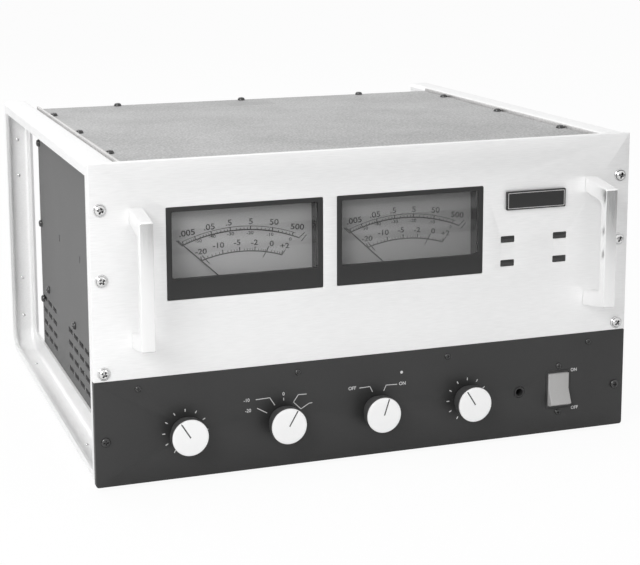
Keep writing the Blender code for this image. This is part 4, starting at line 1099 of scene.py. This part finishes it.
def makeMeter(side, middle):
    v = meterValues
    x = middle * mm
    z = atZ(v["centerZ"])
    lowZ = z - v["height"] / 2
    highZ = z + v["height"] / 2
    half = v["width"] / 2
    outer = rectangle(x - half, lowZ, x + half, highZ, v["corner"])
    windowLow = (x - half + v["side"], lowZ + v["bottom"])
    windowHigh = (x + half - v["side"], highZ - v["top"])
    window = rectangle(*windowLow, *windowHigh, v["windowCorner"])
    builder = plateMesh([outer, window], v["bezel"], v["edge"], frontPlane(panelY), 3)
    low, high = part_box(f"{side}_meter_dial")
    wall = v["wall"]
    sleeve = [
        rectangle(low.x - wall, low.z - wall, high.x + wall, high.z + wall, 1.0 * mm),
        rectangle(low.x - 0.1 * mm, low.z - 0.1 * mm, high.x + 0.1 * mm, high.z + 0.1 * mm, 0.3 * mm),
    ]
    start = panelY + v["bezel"]
    inside = plateMesh(sleeve, high.y - start, 0.1 * mm, frontPlane(start), 1)
    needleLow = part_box(f"{side}_needle")[0].y
    shelf = rectangle(low.x, windowLow[1] - v["shelf"], high.x, windowLow[1], 0.2 * mm, 1)
    for near, far in (
        (start + 0.1 * mm, needleLow + v["slitFront"]), (needleLow + v["slitBack"], low.y - 0.05 * mm),
    ):
        plateMesh([shelf], far - near, 0.1 * mm, frontPlane(near), 1, inside)
    addPiece(f"{side}MeterSleeve", inside, "meter inside")
    bodyLow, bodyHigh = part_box(f"{side}_meter_housing")
    back = [rectangle(bodyLow.x, bodyLow.z, bodyHigh.x, bodyHigh.z, 1.5 * mm)]
    plateMesh(back, bodyHigh.y - high.y - 0.1 * mm, 0.3 * mm, frontPlane(high.y + 0.1 * mm), 1, builder)
    addPiece(f"{side}MeterHousing", builder, "meter moulding", nodes=(f"{side}_meter_housing",))

    card = rectangle(low.x, low.z, high.x, high.z, 0.3 * mm)
    builder = plateMesh([card], high.y - low.y, 0.1 * mm, frontPlane(low.y))
    addPiece(f"{side}MeterDial", builder, "dial card", nodes=(f"{side}_meter_dial",))
    inkY = low.y - 0.03 * mm

    low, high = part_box(f"{side}_meter_lens")
    glass = rectangle(low.x, windowLow[1] - v["ledge"], high.x, high.z, 0.8 * mm)
    builder = plateMesh([glass], high.y - low.y, 0.15 * mm, frontPlane(low.y))
    addPiece(f"{side}MeterLens", builder, "window glass", nodes=(f"{side}_meter_lens",))

    d = dialValues
    arcs = bmesh.new()
    for key in ("upper", "lower"):
        cx, cz = d[key + "Center"]
        first, last = (math.radians(turn) for turn in d[key + "Turns"])
        arcBand(arcs, (x + cx * mm, atZ(cz * mm)), d[key + "Radius"] * mm, first, last, d["arcWidth"], inkY)
    cx, cz = d["upperCenter"]
    first, last = (math.radians(turn) for turn in d["trackTurns"])
    radius = (d["upperRadius"] + d["trackRise"]) * mm
    arcBand(arcs, (x + cx * mm, atZ(cz * mm)), radius, first, last, d["trackWidth"], inkY)
    addPiece(f"{side}DialArcs", arcs, "dial ink")

    marks = []
    for key, ticks in (("upper", upperTicks), ("lower", lowerTicks)):
        center = d[key + "Center"]
        radius = d[key + "Radius"]
        tall = d[key + "Tall"]
        spots = [(dx, d["majorTick"], tall) for dx in ticks]
        for left, right in zip(ticks, ticks[1:]):
            for share in d["minorShares"]:
                spots.append((left + (right - left) * share, d["minorTick"], tall * d["minorTall"]))
        for dx, width, length in spots:
            turn = math.asin((dx - center[0]) / radius)
            reach = radius + length / 2
            marks.append((
                x + (center[0] + reach * math.sin(turn)) * mm, atZ((center[1] + reach * math.cos(turn)) * mm),
                turn, width, length * mm,
            ))
    for a, b in endStrokes:
        marks.append(lineMark((x + a[0] * mm, atZ(a[1] * mm)), (x + b[0] * mm, atZ(b[1] * mm)), d["stroke"]))
    addMarks(f"{side}DialTicks", marks, inkY, "dial ink")

    numbers = bmesh.new()
    for rows, size, weight, lean in (
        (upperNumbers, d["upperSize"], d["weight"], d["lean"]), (lowerNumbers, d["lowerSize"], d["weight"], 0.0),
        (smallNumbers, d["smallSize"], d["thin"], 0.0),
    ):
        for words, dx, height in rows:
            turn = lean * math.asin((dx - d["upperCenter"][0]) / (d["upperRadius"] + d["numberRise"]))
            addText(numbers, words, size, x + dx * mm, inkY, atZ(height * mm), turn, d["widen"], weight)
    addPiece(f"{side}DialNumbers", numbers, "dial ink")


needleValues = dict(
    length=71.0 * mm, root=1.1 * mm, tip=0.8 * mm, tail=6.0 * mm, thick=0.4 * mm, turn=-49.5, hub=3.0 * mm,
    pivotZ=150.5 * mm,
)


def makeNeedle(side, middle):
    v = needleValues
    low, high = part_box(f"{side}_needle")
    pivot = Vector((middle * mm, low.y, atZ(v["pivotZ"])))
    turn = Matrix.Rotation(math.radians(v["turn"]), 3, "Y")
    outline = [(-v["root"] / 2, -v["tail"]), (v["root"] / 2, -v["tail"]), (v["tip"] / 2, v["length"]),
               (-v["tip"] / 2, v["length"])]
    front = low.y + 0.9 * mm
    spot = Vector((pivot.x, front, pivot.z))
    builder = plateMesh([outline], v["thick"], 0.1 * mm, lambda a, b, w: spot + turn @ Vector((a, w, b)))
    hubDepth = high.y - low.y
    profile = [(0, 0), (v["hub"] - 0.5 * mm, 0), (v["hub"], -0.5 * mm), (v["hub"], -hubDepth), (0, -hubDepth)]
    turnedMesh(profile, (pivot.x, low.y, pivot.z), (0, -1, 0), 32, builder)
    addPiece(f"{side}NeedleBlade", builder, "dial ink", f"{side}_needle", (f"{side}_needle",))


for side, middle in (("left", -112.25), ("right", 33.6)):
    makeMeter(side, middle)
    makeNeedle(side, middle)
print("scene: meters made")

# Indicator windows
for node in ("left_limit_lens", "right_limit_lens", "left_normal_lens", "right_normal_lens"):
    low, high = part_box(node)
    loops = [rectangle(low.x, low.z, high.x, high.z, 0.6 * mm)]
    parts = node.split("_")
    builder = plateMesh(loops, high.y - low.y, 0.35 * mm, frontPlane(low.y), 3)
    addPiece(f"{parts[0]}{parts[1].title()}Window", builder, "lamp lens", nodes=(node,))

# Turning controls
knobValues = dict(
    radius=15.25 * mm, edge=0.7 * mm, rim=9.0 * mm, skirt=12.6 * mm, face=17.0 * mm, gap=0.9 * mm,
    bore=3.3 * mm, boreDepth=11.0 * mm, steps=96, pointerWidth=1.05 * mm, cap=1.3 * mm, capStep=0.12 * mm,
)
tickValues = dict(radius=18.3 * mm, length=2.4 * mm, width=0.75 * mm, first=-150, last=150, step=30)


def makeKnob(name, x):
    v = knobValues
    low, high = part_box(f"{name}_knob")
    back = v["face"] - v["gap"]
    floor = back - v["boreDepth"]
    e = v["edge"]
    face = [(0, 0)] + [(v["radius"] * share, 0) for share in (0.3, 0.6, 0.85)]
    face += [(v["radius"] - e, 0), (v["radius"] - e * 0.3, -e * 0.3), (v["radius"], -e)]
    face += [(v["radius"], -v["cap"]), (0, -v["cap"])]
    side = v["radius"] - v["capStep"]
    base = [(0, -v["cap"]), (side, -v["cap"]), (side, -v["rim"] + e / 2), (side - e / 2, -v["rim"])]
    base += [(v["skirt"], -v["rim"]), (v["skirt"], -back), (v["bore"], -back)]
    base += [(v["bore"], -floor), (0, -floor)]
    center = (x, panelY - v["face"], controlZ)
    addPiece(f"{name}_knobBase", turnedMesh(base, center, steps=v["steps"]), "knob side painted light", name, sharp=30)
    builder = turnedMesh(face, center, steps=v["steps"])
    piece = addPiece(f"{name}_turnedCap", builder, "turned aluminium", name, (f"{name}_knob",), 30)
    layer = piece.data.attributes.new("ringRadius", "FLOAT", "POINT")
    layer.data.foreach_set("value", [math.hypot(p.co.x - x, p.co.z - controlZ) for p in piece.data.vertices])
    turn = math.radians(restTurns[name])
    length = v["radius"] - e
    middle = length / 2
    mark = (x + middle * math.sin(turn), controlZ + middle * math.cos(turn), turn, v["pointerWidth"], length)
    addMarks(f"{name}_pointer", [mark], panelY - v["face"] - 0.03 * mm, "black plastic", name)


for name, x in controls.items():
    makeKnob(name, x * mm)

marks = []
for name in ("left_gain", "right_gain"):
    for degrees in range(tickValues["first"], tickValues["last"] + 1, tickValues["step"]):
        turn = math.radians(degrees)
        radius = tickValues["radius"]
        marks.append((
            controls[name] * mm + radius * math.sin(turn), controlZ + radius * math.cos(turn), turn,
            tickValues["width"], tickValues["length"],
        ))
addMarks("gainTicks", marks, panelY - 0.03 * mm, "panel ink")

wordValues = dict(
    leader=0.6 * mm, size=4.2 * mm, narrow=0.95, weight=0.04 * mm, dotRadius=1.2 * mm,
    dotPlace=(25.5 * mm, 70.2 * mm), dotRise=0.06 * mm, dotEdge=0.05 * mm,
)
leaderPaths = (
    ((-95.8, 47.7), (-104.2, 52.5)), ((-88.9, 53.6), (-93.2, 60.5), (-105.3, 60.1)),
    ((-81.0, 57.0), (-81.0, 59.0)),
    ((-60.9, 60.2), (-68.0, 60.5), (-72.4, 54.4), (-65.8, 47.8), (-58.6, 51.9), (-55.9, 52.1)),
    ((-1.3, 55.9), (-3.6, 60.6), (-13.0, 60.3)), ((9.1, 55.6), (11.3, 60.3), (21.2, 60.0)),
)
marks = []
for path in leaderPaths:
    for a, b in zip(path, path[1:]):
        marks.append(lineMark((a[0] * mm, atZ(a[1] * mm)), (b[0] * mm, atZ(b[1] * mm)), wordValues["leader"]))
addMarks("selectorLeaders", marks, panelY - 0.03 * mm, "panel ink")
words = bmesh.new()
printed = (
    ("ON", 191.4, 55.4), ("OFF", 192.9, 20.4), ("OFF", -19.7, 60.6), ("ON", 26.3, 60.2),
    ("-10", -113.4, 60.2), ("-20", -112.2, 51.2), ("0", -81.1, 62.4),
)
for label, x, height in printed:
    addText(
        words, label, wordValues["size"], x * mm, panelY - 0.02 * mm, atZ(height * mm), 0.0,
        wordValues["narrow"], wordValues["weight"],
    )
addPiece("switchWords", words, "panel ink")
radius, rise = wordValues["dotRadius"], wordValues["dotRise"]
x, height = wordValues["dotPlace"]
profile = [(0, rise), (radius, rise), (radius + wordValues["dotEdge"], 0), (0, 0)]
addPiece("whiteDot", turnedMesh(profile, (x, panelY, atZ(height))), "panel ink")
print("scene: controls made")

# Headphone jack
softNode("headphoneSocket", "headphone_jack", "black plastic", edge=0.25 * mm)

# Power rocker, dished towards its middle
rockerValues = dict(
    width=19.9 * mm, half=13.6 * mm, middle=3.5 * mm, dish=2.9 * mm, back=6.5 * mm, pivot=1.9 * mm,
    edge=0.7 * mm, x=176.1 * mm, height=39.1 * mm, arcSteps=10,
)


def makeRocker():
    v = rockerValues
    spot = Vector((v["x"], panelY + v["pivot"], atZ(v["height"])))
    radius = math.hypot(v["half"], v["middle"] + v["dish"])
    endTurn = math.atan2(v["half"], v["middle"] + v["dish"])
    backTurn = math.pi - math.acos(v["back"] / radius)
    top = []
    for step in range(v["arcSteps"] + 1):
        turn = endTurn + (backTurn - endTurn) * step / v["arcSteps"]
        top.append((-radius * math.cos(turn), radius * math.sin(turn)))
    outline = [(-v["middle"], 0), *top, *[(a, -b) for a, b in reversed(top)]]
    tilt = Matrix.Rotation(-math.atan2(v["dish"], v["half"]), 3, "X")
    half = v["width"] / 2
    builder = plateMesh(
        [outline], v["width"], v["edge"], lambda a, b, w: spot + tilt @ Vector((w - half, a, b)), 3
    )
    addPiece("powerRocker", builder, "rocker plastic", "power_rocker", ("power_rocker",))


makeRocker()
softNode("switchBody", "power_switch_body", "black plastic", edge=0.2 * mm)
print("scene: switch made")

# Fasteners: rack screws, black screws of the panels and cover, and rivets. Places are in mm from the
# panels' front and lower edge.
fastenerValues = dict(
    rackX=232.57, rackHeights=(228.59, 171.44, 95.24), lowRackHeight=38.1, plateX=(68.3, 205), plateHeight=80,
    switchX=176.1, switchHeights=(60.5, 18.1), coverX=209, coverDepths=(67, 194.5, 322), coverRear=376,
    coverRearX=(-133, 0, 133), rivetHeights=(225.6, 187.7, 77.7, 36.8), rivetDepths=(357.5, 98.4),
    rivetRadius=1.8 * mm, rivetRise=0.9 * mm,
    sideSpots=((374, 229), (374, 146), (374, 67), (208, 80.5), (342, 83.5), (20, 218), (20, 53)),
)
front = (0, -1, 0)
up = (0, 0, 1)


def makeFasteners():
    v = fastenerValues
    signs = (-1, 1)
    sideX = abs(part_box("left_side_panel")[0].x)
    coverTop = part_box("top_cover")[1].z
    low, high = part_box("left_side_frame")
    middle = (low.x + high.x) / 2
    sheet = frameValues["sheet"]

    def onFront(x, height):
        return (x * mm, panelY, atZ(height * mm)), front

    places = [onFront(sign * v["rackX"], height) for sign in signs for height in v["rackHeights"]]
    addFasteners("rackScrews", places, headObject("rack"), "chrome")
    places = [onFront(sign * v["rackX"], v["lowRackHeight"]) for sign in signs]
    addFasteners("lowRackScrews", places, headObject("low rack"), "black oxide", seed=5)
    places = [onFront(sign * x, v["plateHeight"]) for sign in signs for x in v["plateX"]]
    places += [onFront(v["switchX"], height) for height in v["switchHeights"]]
    addFasteners("panelScrews", places, headObject("panel"), "black oxide", seed=7)
    places = []
    for sign in signs:
        places += [((sign * sideX, panelY + y * mm, atZ(z * mm)), (sign, 0, 0)) for y, z in v["sideSpots"]]
    addFasteners("sideScrews", places, headObject("sheet"), "black oxide", seed=11)
    places = []
    for sign in signs:
        places += [((-sign * middle, high.y - sheet, atZ(z * mm)), front) for z in v["rivetHeights"]]
        places += [((-sign * middle, panelY + y * mm, low.z + sheet), up) for y in v["rivetDepths"]]
    addFasteners("frameRivets", places, domeObject(v["rivetRadius"], v["rivetRise"]), "chrome", seed=13)
    places = [
        ((sign * v["coverX"] * mm, panelY + y * mm, coverTop), up) for sign in signs for y in v["coverDepths"]
    ]
    places += [((x * mm, panelY + v["coverRear"] * mm, coverTop), up) for x in v["coverRearX"]]
    addFasteners("coverScrews", places, headObject("sheet"), "black oxide", seed=9)


makeFasteners()
print("scene: fasteners made")

# Terminal block: a base with fins between eight screws
toRear = (0, 1, 0)
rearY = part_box("rear_panel")[1].y
blockValues = dict(
    baseDrop=6.0 * mm, finWidth=2.2 * mm, screws=8, edge=0.5 * mm, corner=1.5 * mm, finCorner=0.8 * mm,
    tabHalfWidth=6.0 * mm, tabHalfHeight=10.0 * mm, tabSheet=1.2 * mm, tabRise=0.9 * mm, tabCorner=1.0 * mm,
    tabEdge=0.2 * mm,
)


def makeTerminalBlock():
    v = blockValues
    low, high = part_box("speaker_terminals")
    outline = rectangle(low.x, low.z, high.x, high.z, v["corner"])
    depth = high.y - low.y
    builder = plateMesh([outline], depth - v["baseDrop"], v["edge"], backPlane(high.y - v["baseDrop"]))
    pitch = (high.x - low.x - v["finWidth"]) / v["screws"]
    for index in range(v["screws"] + 1):
        x = low.x + index * pitch
        fin = rectangle(x, low.z, x + v["finWidth"], high.z, v["finCorner"], 3)
        plateMesh([fin], depth, v["edge"], backPlane(high.y), 2, builder)
    addPiece("terminalBlock", builder, "black plastic", nodes=("speaker_terminals",))
    y = high.y - v["baseDrop"]
    middle = (low.z + high.z) / 2
    spots = [low.x + (index + 0.5) * pitch + v["finWidth"] / 2 for index in range(v["screws"])]
    clamps = bmesh.new()
    wide, tall = v["tabHalfWidth"], v["tabHalfHeight"]
    top = y + v["tabRise"]
    for x in spots:
        tab = rectangle(x - wide, middle - tall, x + wide, middle + tall, v["tabCorner"], 3)
        plateMesh([tab], v["tabSheet"], v["tabEdge"], backPlane(top), 1, clamps)
    addPiece("terminalClamps", clamps, "zinc")
    places = [((x, top, middle), toRear) for x in spots]
    addFasteners("terminalScrews", places, headObject("terminal"), "chrome", seed=17)


makeTerminalBlock()

# Rear pieces with softened edges
softNode("inputJackPlate", "input_jack_plate", "zinc", edge=0.3 * mm)
softNode("mainsGland", "mains_gland", "black plastic", edge=0.5 * mm)
softNode("fuseCap", "fuse_holder", "black plastic", edge=0.4 * mm)
softNode("fanFrame", "fan_frame", "black plastic", edge=0.4 * mm)
softNode("fanBlades", "fan_rotor", "black plastic", "fan_rotor", edge=0.25 * mm)

# Insulating rings round the input jacks, and the screws of the rear panel and the bottom plate
jackValues = dict(
    x=(122.0 * mm, 154.0 * mm), z=0.2, rise=2.3 * mm, inner=5.0 * mm, outer=8.0 * mm, shoulder=1.4 * mm,
    tip=7.4 * mm, height=2.0 * mm, steps=40,
)
inner, outer, tip = jackValues["inner"], jackValues["outer"], jackValues["tip"]
shoulder, height = jackValues["shoulder"], jackValues["height"]
profile = [(inner, 0), (outer, 0), (outer, shoulder), (tip, height), (inner, height), (inner, 0)]
rings = bmesh.new()
for x in jackValues["x"]:
    center = (x, rearY + jackValues["rise"], jackValues["z"])
    turnedMesh(profile, center, toRear, jackValues["steps"], rings)
bmesh.ops.remove_doubles(rings, verts=rings.verts, dist=1e-6)
addPiece("jackInsulators", rings, "black plastic")
screwValues = dict(
    fanHalf=52.5 * mm, fanZ=0.194, edgeX=205 * mm, edgeZ=(0.018, 0.137, 0.256), innerX=75 * mm,
    innerZ=(0.018, 0.256), bottomX=(-205, 0, 205), bottomY=(-170, 0, 170),
)
half = screwValues["fanHalf"]
places = []
for sign in (-1, 1):
    places += [((sign * half, rearY, screwValues["fanZ"] + rise * half), toRear) for rise in (-1, 1)]
for ring in ("edge", "inner"):
    x, heights = screwValues[ring + "X"], screwValues[ring + "Z"]
    places += [((sign * x, rearY, z), toRear) for sign in (-1, 1) for z in heights]
addFasteners("rearScrews", places, headObject("rear"), "black oxide", seed=19)
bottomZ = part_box("bottom_plate")[0].z
places = [
    ((x * mm, y * mm, bottomZ), (0, 0, -1)) for x in screwValues["bottomX"] for y in screwValues["bottomY"]
]
addFasteners("bottomScrews", places, headObject("rear"), "zinc", seed=23)
print("scene: rear pieces made")

# Inside pieces with softened edges
insideFinishes = {
    "power_transformer": "transformer paint", "left_output_transformer": "transformer paint",
    "right_output_transformer": "transformer paint", "left_filter_capacitor": "capacitor sleeve",
    "right_filter_capacitor": "capacitor sleeve", "left_heat_sink": "black oxide",
    "right_heat_sink": "black oxide",
    "left_meter_movement": "zinc", "right_meter_movement": "zinc", "left_gain_potentiometer": "zinc",
    "right_gain_potentiometer": "zinc", "meter_range_rotary_switch": "zinc", "speakers_rotary_switch": "zinc",
}
for node, finish in insideFinishes.items():
    parts = node.split("_")
    softNode(parts[0] + "".join(part.title() for part in parts[1:]), node, finish, edge=0.4 * mm)
boardValues = dict(
    columns=9, rows=3, firstX=18 * mm, firstZ=22 * mm, pitchX=22.5 * mm, pitchZ=34 * mm, shift=9 * mm,
    radius=4.5 * mm, height=9.0 * mm, terminalHalf=12 * mm,
)
low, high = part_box("circuit_board")
places = []
for column in range(boardValues["columns"]):
    for row in range(boardValues["rows"]):
        x = low.x + boardValues["firstX"] + column * boardValues["pitchX"]
        z = low.z + boardValues["firstZ"] + row * boardValues["pitchZ"] + (column % 2) * boardValues["shift"]
        places.append(((x, low.y, z), front))
head = domeObject(boardValues["radius"], boardValues["height"], 4, 18)
addFasteners("boardCapacitors", places, head, "capacitor sleeve", seed=29)
places = []
for side in ("left", "right"):
    low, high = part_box(f"{side}_filter_capacitor")
    middle = (low + high) / 2
    places += [((middle.x + sign * boardValues["terminalHalf"], middle.y, high.z), up) for sign in (-1, 1)]
addFasteners("capacitorTerminals", places, headObject("capacitor"), "chrome", seed=31)
print("scene: inside pieces made")

# Carried-over CAD parts
carried = {
    "front_chassis_plate": "zinc", "circuit_board": "board laminate", "left_gain_shaft": "zinc",
    "meter_range_shaft": "zinc", "speakers_shaft": "zinc", "right_gain_shaft": "zinc",
}
for node, finish in carried.items():
    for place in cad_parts[node].material_slots:
        place.material = materials[finish]

# Studio
studioValues = dict(
    floorTone=gray(250), paintedShadeTone=gray(20), fade=(1.45, 2.4), floorSize=30.0, sky=0.5, glow=0.94,
    aim=(0, 0, 0.12),
)
lamps = (
    ("key", (-2.0, -1.9, 1.7), 1.5, 48.0),
    ("top", (-0.5, 0.6, 2.8), 2.2, 16.0),
    ("back", (-1.0, 2.4, 1.9), 2.2, 16.0),
)


def makeStudio():
    v = studioValues
    half = v["floorSize"] / 2
    mesh = bpy.data.meshes.new("studioFloor")
    corners = [(-half, -half, 0), (half, -half, 0), (half, half, 0), (-half, half, 0)]
    mesh.from_pydata(corners, [], [(0, 1, 2, 3)])
    floor = bpy.data.objects.new("studioFloor", mesh)
    bpy.context.scene.collection.objects.link(floor)
    material = bpy.data.materials.new("studio_floor")
    material.use_nodes = True
    tree = material.node_tree
    shader = tree.nodes["Principled BSDF"]
    # painted shade: the pale floor turns dark towards the front right, standing in for unlit surroundings, where
    # only reflections show it
    place = tree.nodes.new("ShaderNodeNewGeometry").outputs["Position"]
    along = addNode(tree, "ShaderNodeVectorMath", {0: place, 1: (1, -1, 0)}, operation="DOT_PRODUCT")
    near, far = v["fade"]
    paintedFloorShade = remap(tree, along.outputs["Value"], near, far)
    color = mixColors(tree, paintedFloorShade, v["floorTone"], v["paintedShadeTone"])
    tree.links.new(color, shader.inputs["Base Color"])
    shader.inputs["Roughness"].default_value = 0.9
    rays = tree.nodes.new("ShaderNodeLightPath")
    glow = addNode(tree, "ShaderNodeEmission", {"Color": (1, 1, 1, 1), "Strength": 1.0})
    seen = combine(tree, rays.outputs["Is Camera Ray"], v["glow"])
    mixed = addNode(tree, "ShaderNodeMixShader", {0: seen, 1: shader.outputs[0], 2: glow.outputs[0]})
    tree.links.new(mixed.outputs[0], tree.nodes["Material Output"].inputs["Surface"])
    mesh.materials.append(material)

    world = bpy.data.worlds.new("studio")
    bpy.context.scene.world = world
    world.use_nodes = True
    tree = world.node_tree
    background = tree.nodes["Background"]
    rays = tree.nodes.new("ShaderNodeLightPath")
    direct = combine(tree, rays.outputs["Is Camera Ray"], rays.outputs["Is Glossy Ray"], "MAXIMUM")
    direct = combine(tree, direct, rays.outputs["Is Transmission Ray"], "MAXIMUM")
    strength = remap(tree, direct, 0.0, 1.0, v["sky"])
    background.inputs["Color"].default_value = (1, 1, 1, 1)
    tree.links.new(strength, background.inputs["Strength"])

    for name, place, size, power in lamps:
        lamp = bpy.data.lights.new(name, "AREA")
        lamp.shape = "DISK"
        lamp.size = size
        lamp.energy = power
        holder = bpy.data.objects.new(name, lamp)
        holder.location = place
        aim = Vector(v["aim"]) - Vector(place)
        holder.rotation_euler = aim.to_track_quat("-Z", "Y").to_euler()
        bpy.context.scene.collection.objects.link(holder)
    bpy.context.scene.view_settings.view_transform = "Standard"


makeStudio()

# Camera, fitted to the photograph
cameraValues = dict(
    focal=1551.44, middle=(280.0, 170.0), yaw=0.32193, pitch=0.166419, roll=0.00721,
    place=(-0.476749, -1.379081, 0.465185), picture=(640, 565), sensor=36.0,
)


def makeCamera():
    v = cameraValues
    yaw, pitch, roll = v["yaw"], v["pitch"], v["roll"]
    width, height = v["picture"]
    ahead = Vector((math.sin(yaw) * math.cos(pitch), math.cos(yaw) * math.cos(pitch), -math.sin(pitch)))
    right = Vector((math.cos(yaw), -math.sin(yaw), 0))
    down = ahead.cross(right)
    across = math.cos(roll) * right + math.sin(roll) * down
    below = -math.sin(roll) * right + math.cos(roll) * down
    data = bpy.data.cameras.new("camera")
    data.sensor_width = v["sensor"]
    data.lens = v["focal"] * v["sensor"] / width
    data.shift_x = (width / 2 - v["middle"][0]) / width
    data.shift_y = (v["middle"][1] - height / 2) / width
    camera = bpy.data.objects.new("camera", data)
    turn = Matrix((across, -below, -ahead)).transposed()
    camera.matrix_world = Matrix.Translation(v["place"]) @ turn.to_4x4()
    bpy.context.scene.collection.objects.link(camera)
    bpy.context.scene.camera = camera


makeCamera()
print("scene: studio and camera made")
